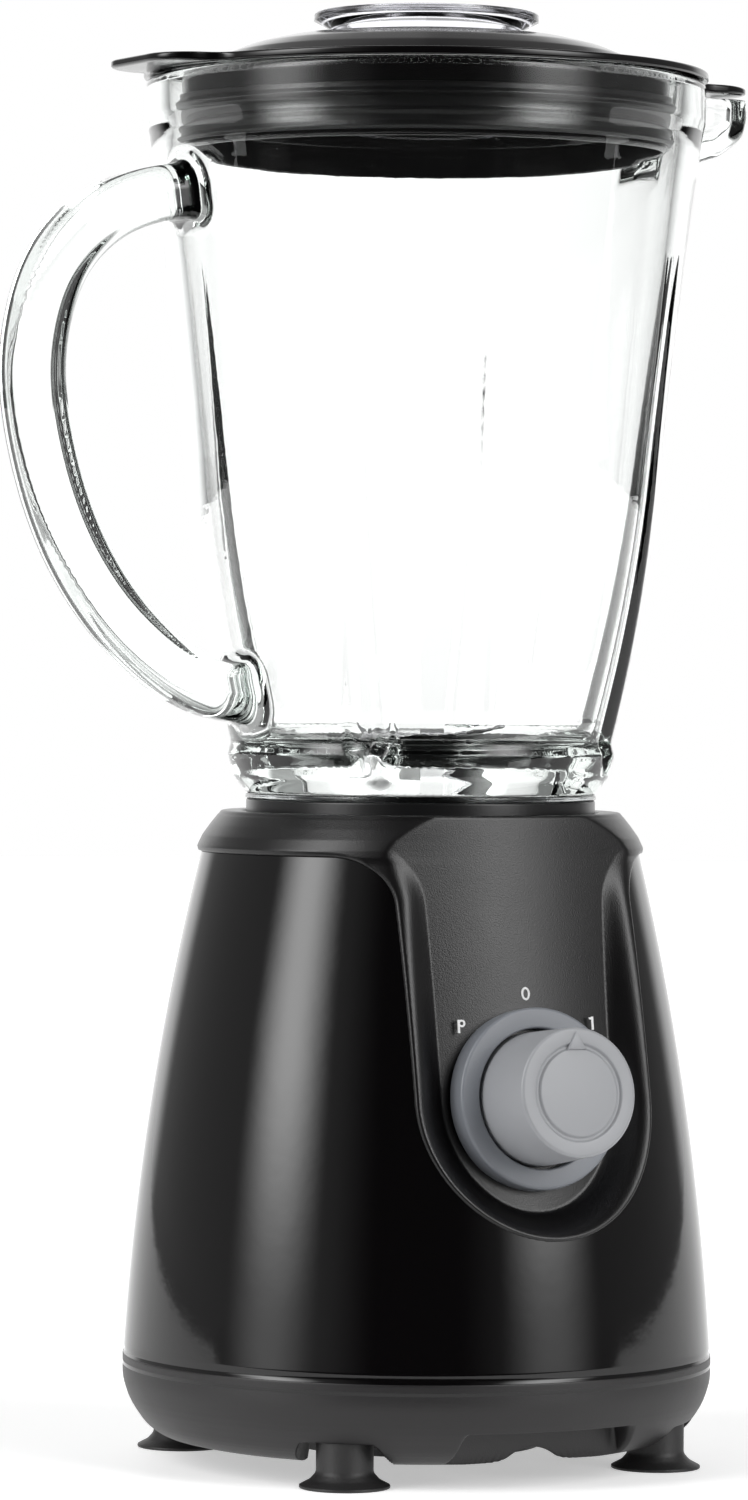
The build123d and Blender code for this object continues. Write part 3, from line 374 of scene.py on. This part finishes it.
def build_cowl():
    """Cowl skin: dense rows up the side and over the shoulder, then the top ring, the well and its floor."""
    columns = 1080
    angle = np.arange(columns) * 2 * PI / columns
    low = dial_z - frame_half - 2
    heights = np.concatenate([np.arange(low, 156, 0.45), np.arange(156, cowl_top_z - 0.8, 0.25)])
    rings = []
    depth_rows = []
    for z in heights:
        r, depth = cowl_surface(angle, np.full(columns, z))
        rings.append(np.stack([r * np.cos(angle), r * np.sin(angle), np.full(columns, z)], -1))
        depth_rows.append(depth)
    top_r = np.hypot(rings[-1][:, 0], rings[-1][:, 1])
    for drop, shrink in ((0.45, 0.22), (0.2, 0.5), (0.05, 0.85), (0.0, 1.3)):
        r = top_r - shrink
        rings.append(np.stack([r * np.cos(angle), r * np.sin(angle), np.full(columns, cowl_top_z - drop)], -1))
    well = rounded([
        (well_r + 1.2, cowl_top_z), (well_r, cowl_top_z, 0.9), (well_r, well_floor_z, 1.0),
        (12.6, well_floor_z, 0.8), (12.6, well_floor_z + 3, 0.5), (10.0, well_floor_z + 3, 0.5),
        (10.0, well_floor_z - 2.4)], closed=False)
    for r, z in well:
        rings.append(np.stack([r * np.cos(angle), r * np.sin(angle), np.full(columns, z)], -1))
    depth_rows += [np.full(columns, 50.0)] * (len(rings) - len(depth_rows))
    verts = np.concatenate(rings)
    depth = np.concatenate(depth_rows)
    faces = [f for f in grid_faces(len(rings), columns) if depth[list(f)].max() > -0.75]
    used = np.unique(np.array(faces))
    remap = -np.ones(len(verts), int)
    remap[used] = np.arange(len(used))
    faces = [tuple(remap[list(f)]) for f in faces]
    return put("upper_cowl_skin", verts[used], faces, satin_black, "base", ["upper_cowl"], sharp=0)


build_cowl()


# ---- motor base: tray, grille and feet ----------------------------------------------------------------------


def build_tray():
    """The tray's underside and side as one height field, raised into arches front and back and into foot pockets."""
    columns, rows = 1080, 210
    profile = rounded([
        (29.8, 8.4), (30.0, tray_low[2], 0.5), (34.6, tray_low[2], 0.6), (35.2, 12.0, 0.8), (60.4, 12.0, 0.8),
        (61.2, tray_low[2], 0.7), (63.5, tray_low[2], 3), (67.5, 6.9, 8), (71.2, 9.3, 12), (75.6, 15.6, 20),
        (77.35, 21.5, 12), (tray_high[0], tray_high[2] - 0.2, 0.2), (tray_high[0] - 2.6, tray_high[2] - 0.1)],
        closed=False)
    step = np.concatenate([[0], np.cumsum(np.hypot(*np.diff(profile, axis=0).T))])
    along = np.linspace(0, step[-1], rows)
    pr, pz = np.interp(along, step, profile[:, 0]), np.interp(along, step, profile[:, 1])
    angle = np.arange(columns) * 2 * PI / columns
    r, a = np.meshgrid(pr, angle, indexing="ij")
    z = np.repeat(pz[:, None], columns, axis=1)
    x, y = r * np.cos(a), r * np.sin(a)
    arch = smooth_step(0, 1.4, np.abs(y) - 60.5) * smooth_step(0, 2.2, 25.5 - np.abs(x))
    z = np.maximum(z, z * (1 - arch) + arch * np.maximum(z, 15.0))
    for fx in (-foot_offset, foot_offset):
        for fy in (-foot_offset, foot_offset):
            pocket = smooth_step(0, 0.9, 12.4 - np.hypot(x - fx, y - fy))
            z = np.maximum(z, z * (1 - pocket) + pocket * np.maximum(z, 12.0))
    verts = np.stack([x, y, z], -1).reshape(-1, 3)
    return put("bottom_tray_skin", verts, grid_faces(rows, columns), tray_black, "base",
        ["bottom_tray"], sharp=0)


build_tray()


def build_foot(x, y, number):
    """A suction foot: a thin cup, a waisted stem and a shoulder in its pocket."""
    profile = rounded([
        (9.6, 0.0), (foot_cup_r, 0.0, 0.3), (11.6, 0.75, 0.3), (9.0, 2.1, 3.0), (7.35, 3.9, 2.0), (7.35, 12.0),
        (0, 12.0), (0, 1.7), (6.5, 1.4, 2.0)])
    verts, faces = lathe(profile, 96, centre=(x, y))
    return put(f"suction_foot_{number}", verts, faces, rubber, "base", sharp=45)


feet = [build_foot(x, y, 1 + i) for i, (x, y) in enumerate(
    (sx * foot_offset, sy * foot_offset) for sx in (-1, 1) for sy in (-1, 1))]
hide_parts("suction_feet")


# ---- dial: bezel, knob and marks ----------------------------------------------------------------------------

dial_x_axis = Vector((1, 0, 0))
dial_out = Vector((0, -math.cos(panel_tilt), math.sin(panel_tilt)))
dial_up = dial_out.cross(dial_x_axis)
dial_turn = np.array([list(dial_x_axis), list(dial_up), list(dial_out)])
dial_origin = np.array([0, -59.8, dial_z])


def on_dial(verts):
    """Points made about the Z axis, moved onto the dial."""
    return np.asarray(verts) @ dial_turn + dial_origin


verts, faces = lathe(rounded([(18.0, -1.0), (23.3, -1.0), (23.3, 5.0, 0.9), (18.0, 5.0, 0.5)]), 160)
put("dial_bezel_ring", on_dial(verts), faces, bezel_grey, "base", ["dial_bezel"])

verts, faces = lathe(rounded([
    (0, 18.0), (14.6, 18.0), (15.2, 1.2, 0.4), (17.2, 1.2, 0.5), (16.5, 24.0, 0.9), (12.6, 24.0, 0.5),
    (12.1, 23.45, 0.3), (11.5, 23.45, 0.3), (11.0, 24.0, 0.5), (0, 24.0)]), 160)
put("control_knob_body", on_dial(verts), faces, knob_grey, "knob", ["control_knob"])


def build_pointer():
    """The raised triangle on the knob's face, with softened edges."""
    base = np.array([(-2.8, 10.8), (2.8, 10.8), (0, 15.4)])
    centre = base.mean(0)
    verts = []
    for shrink, z in ((1.0, 23.6), (1.0, 24.25), (0.9, 24.55), (0.84, 24.6)):
        verts += [(*(centre + (p - centre) * shrink), z) for p in base]
    faces = grid_faces(4, 3) + [(9, 10, 11), (2, 1, 0)]
    return put("knob_pointer", on_dial(verts), faces, knob_grey, "knob", sharp=30)


build_pointer()


# ---- jar: glass ---------------------------------------------------------------------------------------------


def polygon_distance(px, pz, outline):
    """Signed distance to a closed outline, negative inside."""
    best = np.full(px.shape, 1e9)
    inside = np.zeros(px.shape, bool)
    for (ax, az), (bx, bz) in zip(outline, np.roll(outline, -1, axis=0)):
        ex, ez = bx - ax, bz - az
        t = np.clip(((px - ax) * ex + (pz - az) * ez) / (ex * ex + ez * ez + 1e-12), 0, 1)
        best = np.minimum(best, (px - ax - t * ex) ** 2 + (pz - az - t * ez) ** 2)
        crosses = ((az > pz) != (bz > pz)) & (px < (bx - ax) * (pz - az) / (bz - az + 1e-12) + ax)
        inside ^= crosses
    return np.where(inside, -1, 1) * np.sqrt(best)


class Table:
    """A distance function of two coordinates, sampled on a fine lattice and read back bilinearly."""

    def __init__(self, function, low, high, step=0.3):
        self.low, self.step = np.array(low, float), step
        u = np.arange(low[0], high[0] + step, step)
        v = np.arange(low[1], high[1] + step, step)
        self.values = function(*np.meshgrid(u, v, indexing="ij")).astype(np.float32)

    def __call__(self, u, v):
        fu = np.clip((u - self.low[0]) / self.step, 0, self.values.shape[0] - 1.001)
        fv = np.clip((v - self.low[1]) / self.step, 0, self.values.shape[1] - 1.001)
        i, j = fu.astype(int), fv.astype(int)
        du, dv = fu - i, fv - j
        t = self.values
        near = t[i, j] * (1 - du) + t[i + 1, j] * du
        far = t[i, j + 1] * (1 - du) + t[i + 1, j + 1] * du
        return near * (1 - dv) + far * dv


def soft_min(a, b, k):
    h = np.clip(0.5 + 0.5 * (b - a) / k, 0, 1)
    return b * (1 - h) + a * h - k * h * (1 - h)


def soft_max(a, b, k):
    return -soft_min(-a, -b, k)


def arc_points(start, middle, end, count=24):
    """Points along the circle through three points."""
    ux, uy, radius = circle_through(start, middle, end)
    a1, a2, a3 = (math.atan2(y - uy, x - ux) for x, y in (start, middle, end))
    a2 = a1 + math.remainder(a2 - a1, 2 * PI)
    a3 = a2 + math.remainder(a3 - a2, 2 * PI)
    return [(ux + radius * math.cos(a), uy + radius * math.sin(a)) for a in np.linspace(a1, a3, count)]


mouth_z, mouth_r, foot_z = jar_high[2], jar_high[1], jar_low[2]
foot_hole_r = 34.0
outer_points = rounded(
    [(0, foot_z), (46.0, foot_z, 1.2), (49.4, foot_z + 4.4, 5), (51.0, foot_z + 10.4, 2.5),
    (50.2, foot_z + 13.2, 1.2)], closed=False)
bead_points = rounded(
    [(72.0, 342.0), (72.6, 346.6, 2), (mouth_r, 351.0, 3), (mouth_r, mouth_z, 2.0), (60, mouth_z)], closed=False)
outer_outline = np.array(
    [tuple(p) for p in outer_points]
    + arc_points((50.2, foot_z + 13.8), (57.4, 222.0), (62.6, 262.0))
    + arc_points((62.6, 262.0), (67.2, 305.0), (72.0, 342.0))[1:]
    + [tuple(p) for p in bead_points[1:-1]]
    + [(0, mouth_z)]
)
space_outline = np.array(
    [(0, 160), (foot_hole_r, 160), (foot_hole_r, 184.0)]
    + arc_points((37.0, 187.0), (43.6, 189.6), (46.6, 196.0), 10)
    + arc_points((46.6, 196.0), (53.6, 230.0), (57.6, 262.0))[1:]
    + arc_points((57.6, 262.0), (61.9, 305.0), (65.6, 338.0))[1:]
    + [(66.6, 345.0), (67.4, mouth_z - 1.5), (69.5, mouth_z + 0.5), (69.5, 380), (0, 380)]
)
handle_thick, handle_deep = 7.2, 8.8


def handle_line():
    """The handle's centre line in side view, as (r, z) points along its chain of bends."""
    knots = np.array([
        (44, 199.0), (67, 203.5), (86.5, 217.0), (101.0, 235.5), (110.4, 258.0), (114.6, 283.0), (110.5, 305.0),
        (100.0, 319.5), (84, 328.0), (58, 332.0)])
    line = []
    padded = np.vstack([2 * knots[0] - knots[1], knots, 2 * knots[-1] - knots[-2]])
    for i in range(1, len(padded) - 2):
        p0, p1, p2, p3 = padded[i - 1: i + 3]
        for t in np.linspace(0, 1, 24, endpoint=False):
            line.append(0.5 * ((2 * p1) + (p2 - p0) * t + (2 * p0 - 5 * p1 + 4 * p2 - p3) * t**2
                               + (3 * p1 - p0 - 3 * p2 + p3) * t**3))
    line.append(knots[-1])
    return np.array(line)


def line_distance(u, v):
    """Distance to the handle's centre line, positive on the side that faces away from the jar."""
    line = handle_line()
    best = np.full(u.shape, 1e9)
    side = np.ones(u.shape)
    for (ax, az), (bx, bz) in zip(line[:-1], line[1:]):
        ex, ez = bx - ax, bz - az
        t = np.clip(((u - ax) * ex + (v - az) * ez) / (ex * ex + ez * ez + 1e-12), 0, 1)
        gap = (u - ax - t * ex) ** 2 + (v - az - t * ez) ** 2
        nearer = gap < best
        best = np.where(nearer, gap, best)
        side = np.where(nearer, np.sign(ez * (u - ax) - ex * (v - az)), side)
    return np.sqrt(best) * side


def handle_distance(n, y):
    """The handle's section: round on the side away from the jar, nearly flat on the side that faces it."""
    corner = 3.0 + 4.0 * smooth_step(-4.0, 2.0, n)
    a, b = np.abs(n) - handle_thick + corner, np.abs(y) - handle_deep + corner
    return np.hypot(np.maximum(a, 0), np.maximum(b, 0)) + np.minimum(np.maximum(a, b), 0) - corner


rib_top_z, rib_depth, rib_width = 316.0, 3.8, 5.4
spout_half = 13.0
outer_table = Table(lambda u, v: polygon_distance(u, v, outer_outline), (0, 165), (110, 375))
space_table = Table(lambda u, v: polygon_distance(u, v, space_outline), (0, 150), (110, 385))
handle_table = Table(line_distance, (20, 165), (135, 375))
spout_outline = rounded([
    (60, 336), (73.0, 342.0, 4), (85.0, 345.5, 6), (93.0, 350.5, 6), (94.5, 356.0, 4),
    (94.2, mouth_z - 0.4, 0.8), (60, mouth_z - 0.4)])
channel_outline = rounded([
    (50, 345.5), (72.0, 347.5, 4), (84.0, 350.0, 4), (89.5, 354.0, 3), (90.8, 372.0), (50, 372.0)])
spout_table = Table(lambda u, v: polygon_distance(u, v, spout_outline), (45, 325), (110, 375))
channel_table = Table(lambda u, v: polygon_distance(u, v, channel_outline), (40, 325), (110, 380))


def glass_distance(x, y, z):
    """Signed distance to the glass: turned body, pressed ribs, handle and spout, less the space inside."""
    r = np.hypot(x, y)
    angle = np.arctan2(y, x)
    rib_angle = (angle + PI / 4) % (PI / 2)
    offset = np.minimum(rib_angle, PI / 2 - rib_angle)
    across = r * offset
    down = np.clip((rib_top_z - z) / (rib_top_z - 196.0), 0, 1)
    foot_fade = smooth_step(179.0, 190.0, z)
    width = 1.7 + rib_width * down * (0.4 + 0.6 * foot_fade)
    wedge = 0.5 + 0.5 * np.cos(PI * np.clip(across / width, 0, 1))
    push = rib_depth * down**0.85 * foot_fade * wedge
    warped = r + push
    body = outer_table(warped, z)
    bar = np.where(x < 0, handle_distance(handle_table(-x, z), y), 60.0)
    solid = soft_min(body, bar, 5.0)
    narrow = spout_half - 3.0 * np.clip((x - 74) / 20, 0, 1)
    spout = soft_max(np.where(x > 0, spout_table(x, z), 60.0), np.abs(y) - narrow, 4.0)
    solid = soft_min(solid, spout, 5.0)
    channel = soft_max(np.where(x > 0, channel_table(x, z), 60.0), np.abs(y) - narrow + 3.6, 4.0)
    hollow = soft_min(space_table(warped, z), channel, 2.0)
    return soft_max(solid, -hollow, 1.2)


def surface_net(function, low, high, step):
    """A quad mesh of function's zero level: one point for each cell that it crosses, then pulled exactly onto it."""
    axes = [np.arange(a, b + step, step) for a, b in zip(low, high)]
    nx, ny, nz = map(len, axes)
    field = np.empty((nx, ny, nz), np.float32)
    yy, zz = np.meshgrid(axes[1], axes[2], indexing="ij")
    for i, xv in enumerate(axes[0]):
        field[i] = function(np.full(yy.shape, xv), yy, zz)
    sign = field < 0
    total = np.zeros((nx - 1, ny - 1, nz - 1, 3), np.float32)
    hits = np.zeros((nx - 1, ny - 1, nz - 1), np.float32)
    corner = [(a, b, c) for a in (0, 1) for b in (0, 1) for c in (0, 1)]
    for p in corner:
        for axis in range(3):
            if p[axis]:
                continue
            q = list(p)
            q[axis] = 1
            cut_p = tuple(slice(v, n - 1 + v) for v, n in zip(p, (nx, ny, nz)))
            cut_q = tuple(slice(v, n - 1 + v) for v, n in zip(q, (nx, ny, nz)))
            fp, fq = field[cut_p], field[cut_q]
            crossed = (fp < 0) != (fq < 0)
            t = np.where(crossed, fp / np.where(crossed, fp - fq, 1), 0)
            for k in range(3):
                total[..., k] += np.where(crossed, p[k] + (t if k == axis else 0), 0)
            hits += crossed
    active = hits > 0
    index = -np.ones(active.shape, np.int64)
    index[active] = np.arange(active.sum())
    cell = np.argwhere(active)
    points = (cell + total[active] / hits[active][:, None]) * step + np.array(low)
    quads = []
    for axis in range(3):
        a, b = [k for k in range(3) if k != axis]
        ahead = [slice(None)] * 3
        behind = [slice(None)] * 3
        ahead[axis], behind[axis] = slice(1, None), slice(None, -1)
        change = sign[tuple(ahead)] != sign[tuple(behind)]
        where = np.argwhere(change)
        limit = np.array([nx, ny, nz]) - 1
        ok = (where[:, a] > 0) & (where[:, b] > 0) & (where[:, a] < limit[a]) & (where[:, b] < limit[b])
        where = where[ok]
        solid_behind = sign[tuple(behind)][tuple(where.T)]
        ring = []
        for da, db in ((0, 0), (-1, 0), (-1, -1), (0, -1)):
            c = where.copy()
            c[:, a] += da
            c[:, b] += db
            ring.append(index[tuple(c.T)])
        ring = np.stack(ring, -1)
        flip = solid_behind if axis != 1 else ~solid_behind
        ring[~flip] = ring[~flip][:, ::-1]
        quads.append(ring)
    quads = np.concatenate(quads)
    probe = 0.35
    for _ in range(4):
        value = function(*points.T)
        slope = np.stack([
            (function(*(points + d).T) - function(*(points - d).T)) / (2 * probe)
            for d in probe * np.eye(3)
        ], -1)
        size = np.maximum((slope**2).sum(-1), 0.2)
        points = points - np.clip(value / size, -0.6, 0.6)[:, None] * slope
    normals = slope / np.maximum(np.linalg.norm(slope, axis=-1), 1e-6)[:, None]
    return points, quads, normals


def build_glass():
    step = 0.9
    points, quads, normals = surface_net(glass_distance, (-128, -78, foot_z - 4), (98, 78, mouth_z + 3), step)
    return put(
        "glass_jar_body", points, quads, jar_glass, "jar", ["glass_jar", "jar_spout"], sharp=0,
        normals=normals)


build_glass()


# ---- jar: collar and seal -----------------------------------------------------------------------------------

verts, faces = lathe(rounded([
    (43.3, collar_low[2]), (45.9, collar_low[2], 0.4), (45.9, collar_high[2] - 10, 0), (45.9, 173.3, 0.5),
    (33.6, 173.3), (33.6, 176.7, 1.0), (11.0, 176.7), (11.0, 178.0, 0.4), (6.0, 178.0), (6.0, 167.5),
    (11.0, 167.5), (11.0, 170.3), (43.3, 170.3)]), 192)
put("jar_collar_body", verts, faces, collar_black, "jar", ["jar_collar"])

verts, faces = lathe(rounded([(34.4, 173.35), (46.2, 173.35, 0.6), (46.2, 174.95, 0.6), (34.4, 174.95)]), 192)
put("jar_seal_ring", verts, faces, seal_clear, "jar", ["jar_seal"])


# ---- lid ----------------------------------------------------------------------------------------------------


flange_r = 74.2


def lid_edge(angle):
    """Radius of the lid's flange in plan: a circle with a broad tongue over the handle and a cover over the spout."""
    radii = np.linspace(60, 99, 400)
    x = radii[:, None] * np.cos(angle)[None]
    y = radii[:, None] * np.sin(angle)[None]

    def plate(tip, half, corner, sign):
        u = np.abs(x * sign - tip / 2) - (tip / 2 - corner)
        v = np.abs(y) - (half - corner)
        return np.hypot(np.maximum(u, 0), np.maximum(v, 0)) + np.minimum(np.maximum(u, v), 0) - corner

    circle = np.hypot(x, y) - flange_r
    shape = soft_min(soft_min(circle, plate(86.5, 20.0, 11.0, -1), 6.0), plate(94.5, 15.5, 12.0, 1), 6.0)
    inside = shape < 0
    last = inside.shape[0] - 1 - np.argmax(inside[::-1], axis=0)
    last = np.clip(last, 0, len(radii) - 2)
    column = np.arange(len(angle))
    a, b = shape[last, column], shape[last + 1, column]
    return np.maximum(radii[last] + (radii[1] - radii[0]) * a / (a - b), flange_r - 0.3)


def build_lid():
    """Dome, flange and skirt as one turned skin whose flange follows lid_edge."""
    skirt_z, flange_z, flange_top = lid_low[2], 362.0, 364.2
    profile = rounded([
        (22.6, 373.4, 0), (31.0, 373.4, 3), (39.0, 372.5, 20), (47.0, 370.5, 16), (52.6, 368.2, 6), (56.2, 365.8, 4),
        (58.6, flange_top, 2.0),
        (flange_r, flange_top, 0.7), (flange_r, flange_z, 0.7), (64.0, flange_z, 0.8), (63.4, 343.4, 0.8),
        (61.9, 342.4, 0.6), (61.2, skirt_z, 0.6),
        (59.0, skirt_z, 0.5), (60.6, 343.0, 1), (60.8, 356.0, 4), (54.4, 362.2, 4), (50.0, 366.2, 4), (38.6, 370.0, 6),
        (24.6, 371.2, 1),
        (24.6, 362.0, 0.4), (22.6, 362.0, 0.4)])
    columns = 720
    angle = np.arange(columns) * 2 * PI / columns
    edge = lid_edge(angle)
    rings = []
    for r, z in profile:
        on_flange = flange_z - 0.01 <= z <= flange_top + 0.01
        share = np.clip((r - 64.0) / 10.2, 0, 1) if on_flange else 0.0
        rr = r + share * (edge - flange_r)
        rings.append(np.stack([rr * np.cos(angle), rr * np.sin(angle), np.full(columns, z)], -1))
    verts = np.concatenate(rings)
    count = len(rings)
    faces = grid_faces(count, columns)
    last_row = (count - 1) * columns
    faces += [(last_row + k, last_row + (k + 1) % columns, (k + 1) % columns, k) for k in range(columns)]
    return put("lid_body", verts, faces, lid_black, "lid", ["lid", "lid_plug"], sharp=40)


build_lid()

gasket_r = 63.4
verts, faces = lathe(rounded([
    (gasket_r, 344.4), (gasket_r + 1.0, 344.4, 0.3), (gasket_r + 1.9, 345.4, 0.4), (gasket_r + 1.0, 346.6, 0.5),
    (gasket_r + 1.0, 348.4, 0.5), (gasket_r + 2.2, 349.4, 0.4), (gasket_r + 1.0, 350.6, 0.5),
    (gasket_r + 1.0, 352.4, 0.5),
    (gasket_r + 2.4, 353.4, 0.4), (gasket_r + 1.0, 354.6, 0.5), (gasket_r + 1.0, 356.0, 0.3), (gasket_r, 356.0)]), 256)
put("lid_gasket_ring", verts, faces, gasket_rubber, "lid", ["lid_gasket"])

verts, faces = lathe(rounded([
    (0, cap_low[2]), (20.0, cap_low[2], 2.0), (21.6, 368.0, 4), (21.6, 373.7, 0.4), (24.6, 373.7, 0.8),
    (25.4, 375.4, 1.2),
    (29.6, 377.6, 0.5), (29.6, cap_high[2], 0.7), (26.2, cap_high[2], 0.4), (25.6, cap_high[2] - 0.6, 0.3),
    (21.6, cap_high[2] - 0.6, 0.8), (19.6, 371.0, 3), (18.0, 350.0, 2.0), (0, 350.0)]), 192)
put("measuring_cap_cup", verts, faces, cap_plastic, "cap", ["measuring_cap"])


# ---- finishes of the CAD nodes that stay --------------------------------------------------------------------

finishes = {
    "vent_grille": inner_black, "tray_screws": plated, "cord_gland": rubber, "terminal_block": beige,
    "knob_shaft": plated, "rotary_switch": inner_black, "dial_marks": print_white, "stator_core": lamination,
    "field_windings": copper, "lower_motor_bracket": plated, "upper_motor_bracket": plated,
    "lower_bearing": bronze, "upper_bearing": bronze, "brush_holders": inner_black, "carbon_brushes": carbon,
    "motor_mounts": rubber, "motor_screws": plated, "motor_shaft": plated, "rotor_core": lamination,
    "rotor_windings": copper, "commutator": copper, "cooling_fan": inner_black, "fan_nut": plated,
    "drive_coupler": inner_black, "blade_bushing": bronze, "shaft_seal": rubber, "blade_shaft": plated,
    "driven_coupler": inner_black, "blade_washer": plated, "lower_blades": steel, "upper_blades": steel,
    "blade_nut": plated, }
for node, finish in finishes.items():
    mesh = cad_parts[node].data
    mesh.materials.clear()
    mesh.materials.append(finish)


# ---- stage: floor, light and camera -------------------------------------------------------------------------

camera_azimuth = math.radians(-29.0)
camera_distance_m, camera_height_m = 1.633, 0.2086
pitch, aim_left_m, roll = math.radians(0.785), 0.01235, math.radians(0.43)
lens_mm = 148.9

back = Vector((math.sin(camera_azimuth), -math.cos(camera_azimuth), 0))
camera_right = Vector((math.cos(camera_azimuth), math.sin(camera_azimuth), 0))
floor_mesh = bpy.data.meshes.new("floor")
floor_front_m, floor_rear_m, floor_side_m = 0.24, 5.0, 3.0
floor_mesh.from_pydata(
    [list(back * ahead + camera_right * aside) for ahead, aside in (
        (floor_front_m, -floor_side_m), (floor_front_m, floor_side_m),
        (-floor_rear_m, floor_side_m), (-floor_rear_m, -floor_side_m))],
    [], [(0, 1, 2, 3)])
floor = bpy.data.objects.new("floor", floor_mesh)
bpy.context.scene.collection.objects.link(floor)
floor_paint = material("floor_paint", (0.86, 0.86, 0.86), 0.6)
floor_shader = floor_paint.node_tree.nodes["Principled BSDF"]
floor_shader.inputs["Emission Color"].default_value = (1, 1, 1, 1)
floor_shader.inputs["Emission Strength"].default_value = 0.45
floor_mesh.materials.append(floor_paint)


left_box_level, right_box_level, left_wall_level, right_wall_level, front_level = 6.8, 6.2, 0.34, 0.2, 0.03


def world_light():
    """A pale studio: white behind the object, dim in front of it, with tall soft boxes at both sides."""
    world = bpy.data.worlds.new("studio")
    bpy.context.scene.world = world
    world.use_nodes = True
    tree = world.node_tree
    tree.nodes.clear()
    new, link = tree.nodes.new, tree.links.new

    def math_node(kind, a, b=None, c=None):
        node = new("ShaderNodeMath")
        node.operation = kind
        for slot_index, value in enumerate((a, b, c)):
            if value is None:
                continue
            if isinstance(value, (int, float)):
                node.inputs[slot_index].default_value = value
            else:
                link(value, node.inputs[slot_index])
        return node.outputs[0]

    def ramp(value, low, high, start=0.0, end=1.0):
        node = new("ShaderNodeMapRange")
        node.interpolation_type = "SMOOTHSTEP"
        link(value, node.inputs["Value"])
        node.inputs["From Min"].default_value = low
        node.inputs["From Max"].default_value = high
        node.inputs["To Min"].default_value = start
        node.inputs["To Max"].default_value = end
        return node.outputs["Result"]

    coords = new("ShaderNodeTexCoord")
    split = new("ShaderNodeSeparateXYZ")
    link(coords.outputs["Generated"], split.inputs[0])
    x, y, z = split.outputs
    ax, ay = math.sin(camera_azimuth), -math.cos(camera_azimuth)
    # angle of a direction about Z, measured from the side that the object is seen from
    along = math_node("ADD", math_node("MULTIPLY", x, ax), math_node("MULTIPLY", y, ay))
    across = math_node("ADD", math_node("MULTIPLY", x, -ay), math_node("MULTIPLY", y, ax))
    heading = math_node("MULTIPLY", math_node("ARCTAN2", across, along), 180 / PI)
    side = math_node("ABSOLUTE", heading)
    rise = math_node("MULTIPLY", math_node("ARCSINE", z), 180 / PI)
    backdrop = math_node("MULTIPLY", ramp(side, 136, 150), ramp(rise, 16, 36, 1.0, 0.06))
    low_half = math_node("MULTIPLY", ramp(rise, -4, 0), 0.2)
    high_half = math_node("MULTIPLY", ramp(rise, 1, 14), 0.8)
    tall = math_node("MULTIPLY", math_node("ADD", low_half, high_half), ramp(rise, 52, 66, 1.0, 0.0))
    left = math_node("MULTIPLY", ramp(heading, -82, -61), ramp(heading, -59, -38, 1.0, 0.0))
    right = math_node("MULTIPLY", ramp(heading, 32, 53), ramp(heading, 56, 78, 1.0, 0.0))
    both = math_node("ADD", math_node("MULTIPLY", left, left_box_level), math_node("MULTIPLY", right, right_box_level))
    boxes = math_node("MULTIPLY", both, tall)
    wall_left = math_node("MULTIPLY", ramp(heading, -15, -42),
        math_node("MULTIPLY", ramp(rise, -4, 1), left_wall_level))
    wall_right = math_node("MULTIPLY", ramp(heading, 15, 42),
        math_node("MULTIPLY", ramp(rise, -4, 1), right_wall_level))
    walls = math_node("MULTIPLY", math_node("ADD", wall_left, wall_right), ramp(rise, 50, 70, 1.0, 0.2))
    lit = math_node("ADD", math_node("ADD", boxes, backdrop), math_node("ADD", walls, front_level))
    path = new("ShaderNodeLightPath")
    shown = new("ShaderNodeMix")
    shown.data_type = "FLOAT"
    link(path.outputs["Is Camera Ray"], shown.inputs["Factor"])
    link(lit, shown.inputs[2])
    shown.inputs[3].default_value = 1.0
    background = new("ShaderNodeBackground")
    background.inputs["Color"].default_value = (1.0, 1.0, 1.0, 1)
    link(shown.outputs[0], background.inputs["Strength"])
    link(background.outputs[0], new("ShaderNodeOutputWorld").inputs["Surface"])


world_light()

camera_data = bpy.data.cameras.new("camera")
camera_data.lens = lens_mm
camera_data.sensor_width = 36
camera = bpy.data.objects.new("camera", camera_data)
bpy.context.scene.collection.objects.link(camera)
bpy.context.scene.camera = camera
camera.location = back * camera_distance_m + Vector((0, 0, camera_height_m))
aim = -camera_right * aim_left_m + Vector((0, 0, camera_height_m - camera_distance_m * math.tan(pitch)))
look = (aim - camera.location).to_track_quat("-Z", "Y")
camera.rotation_mode = "QUATERNION"
camera.rotation_quaternion = look @ Matrix.Rotation(roll, 3, "Z").to_quaternion()
bpy.context.scene.view_settings.view_transform = "Standard"
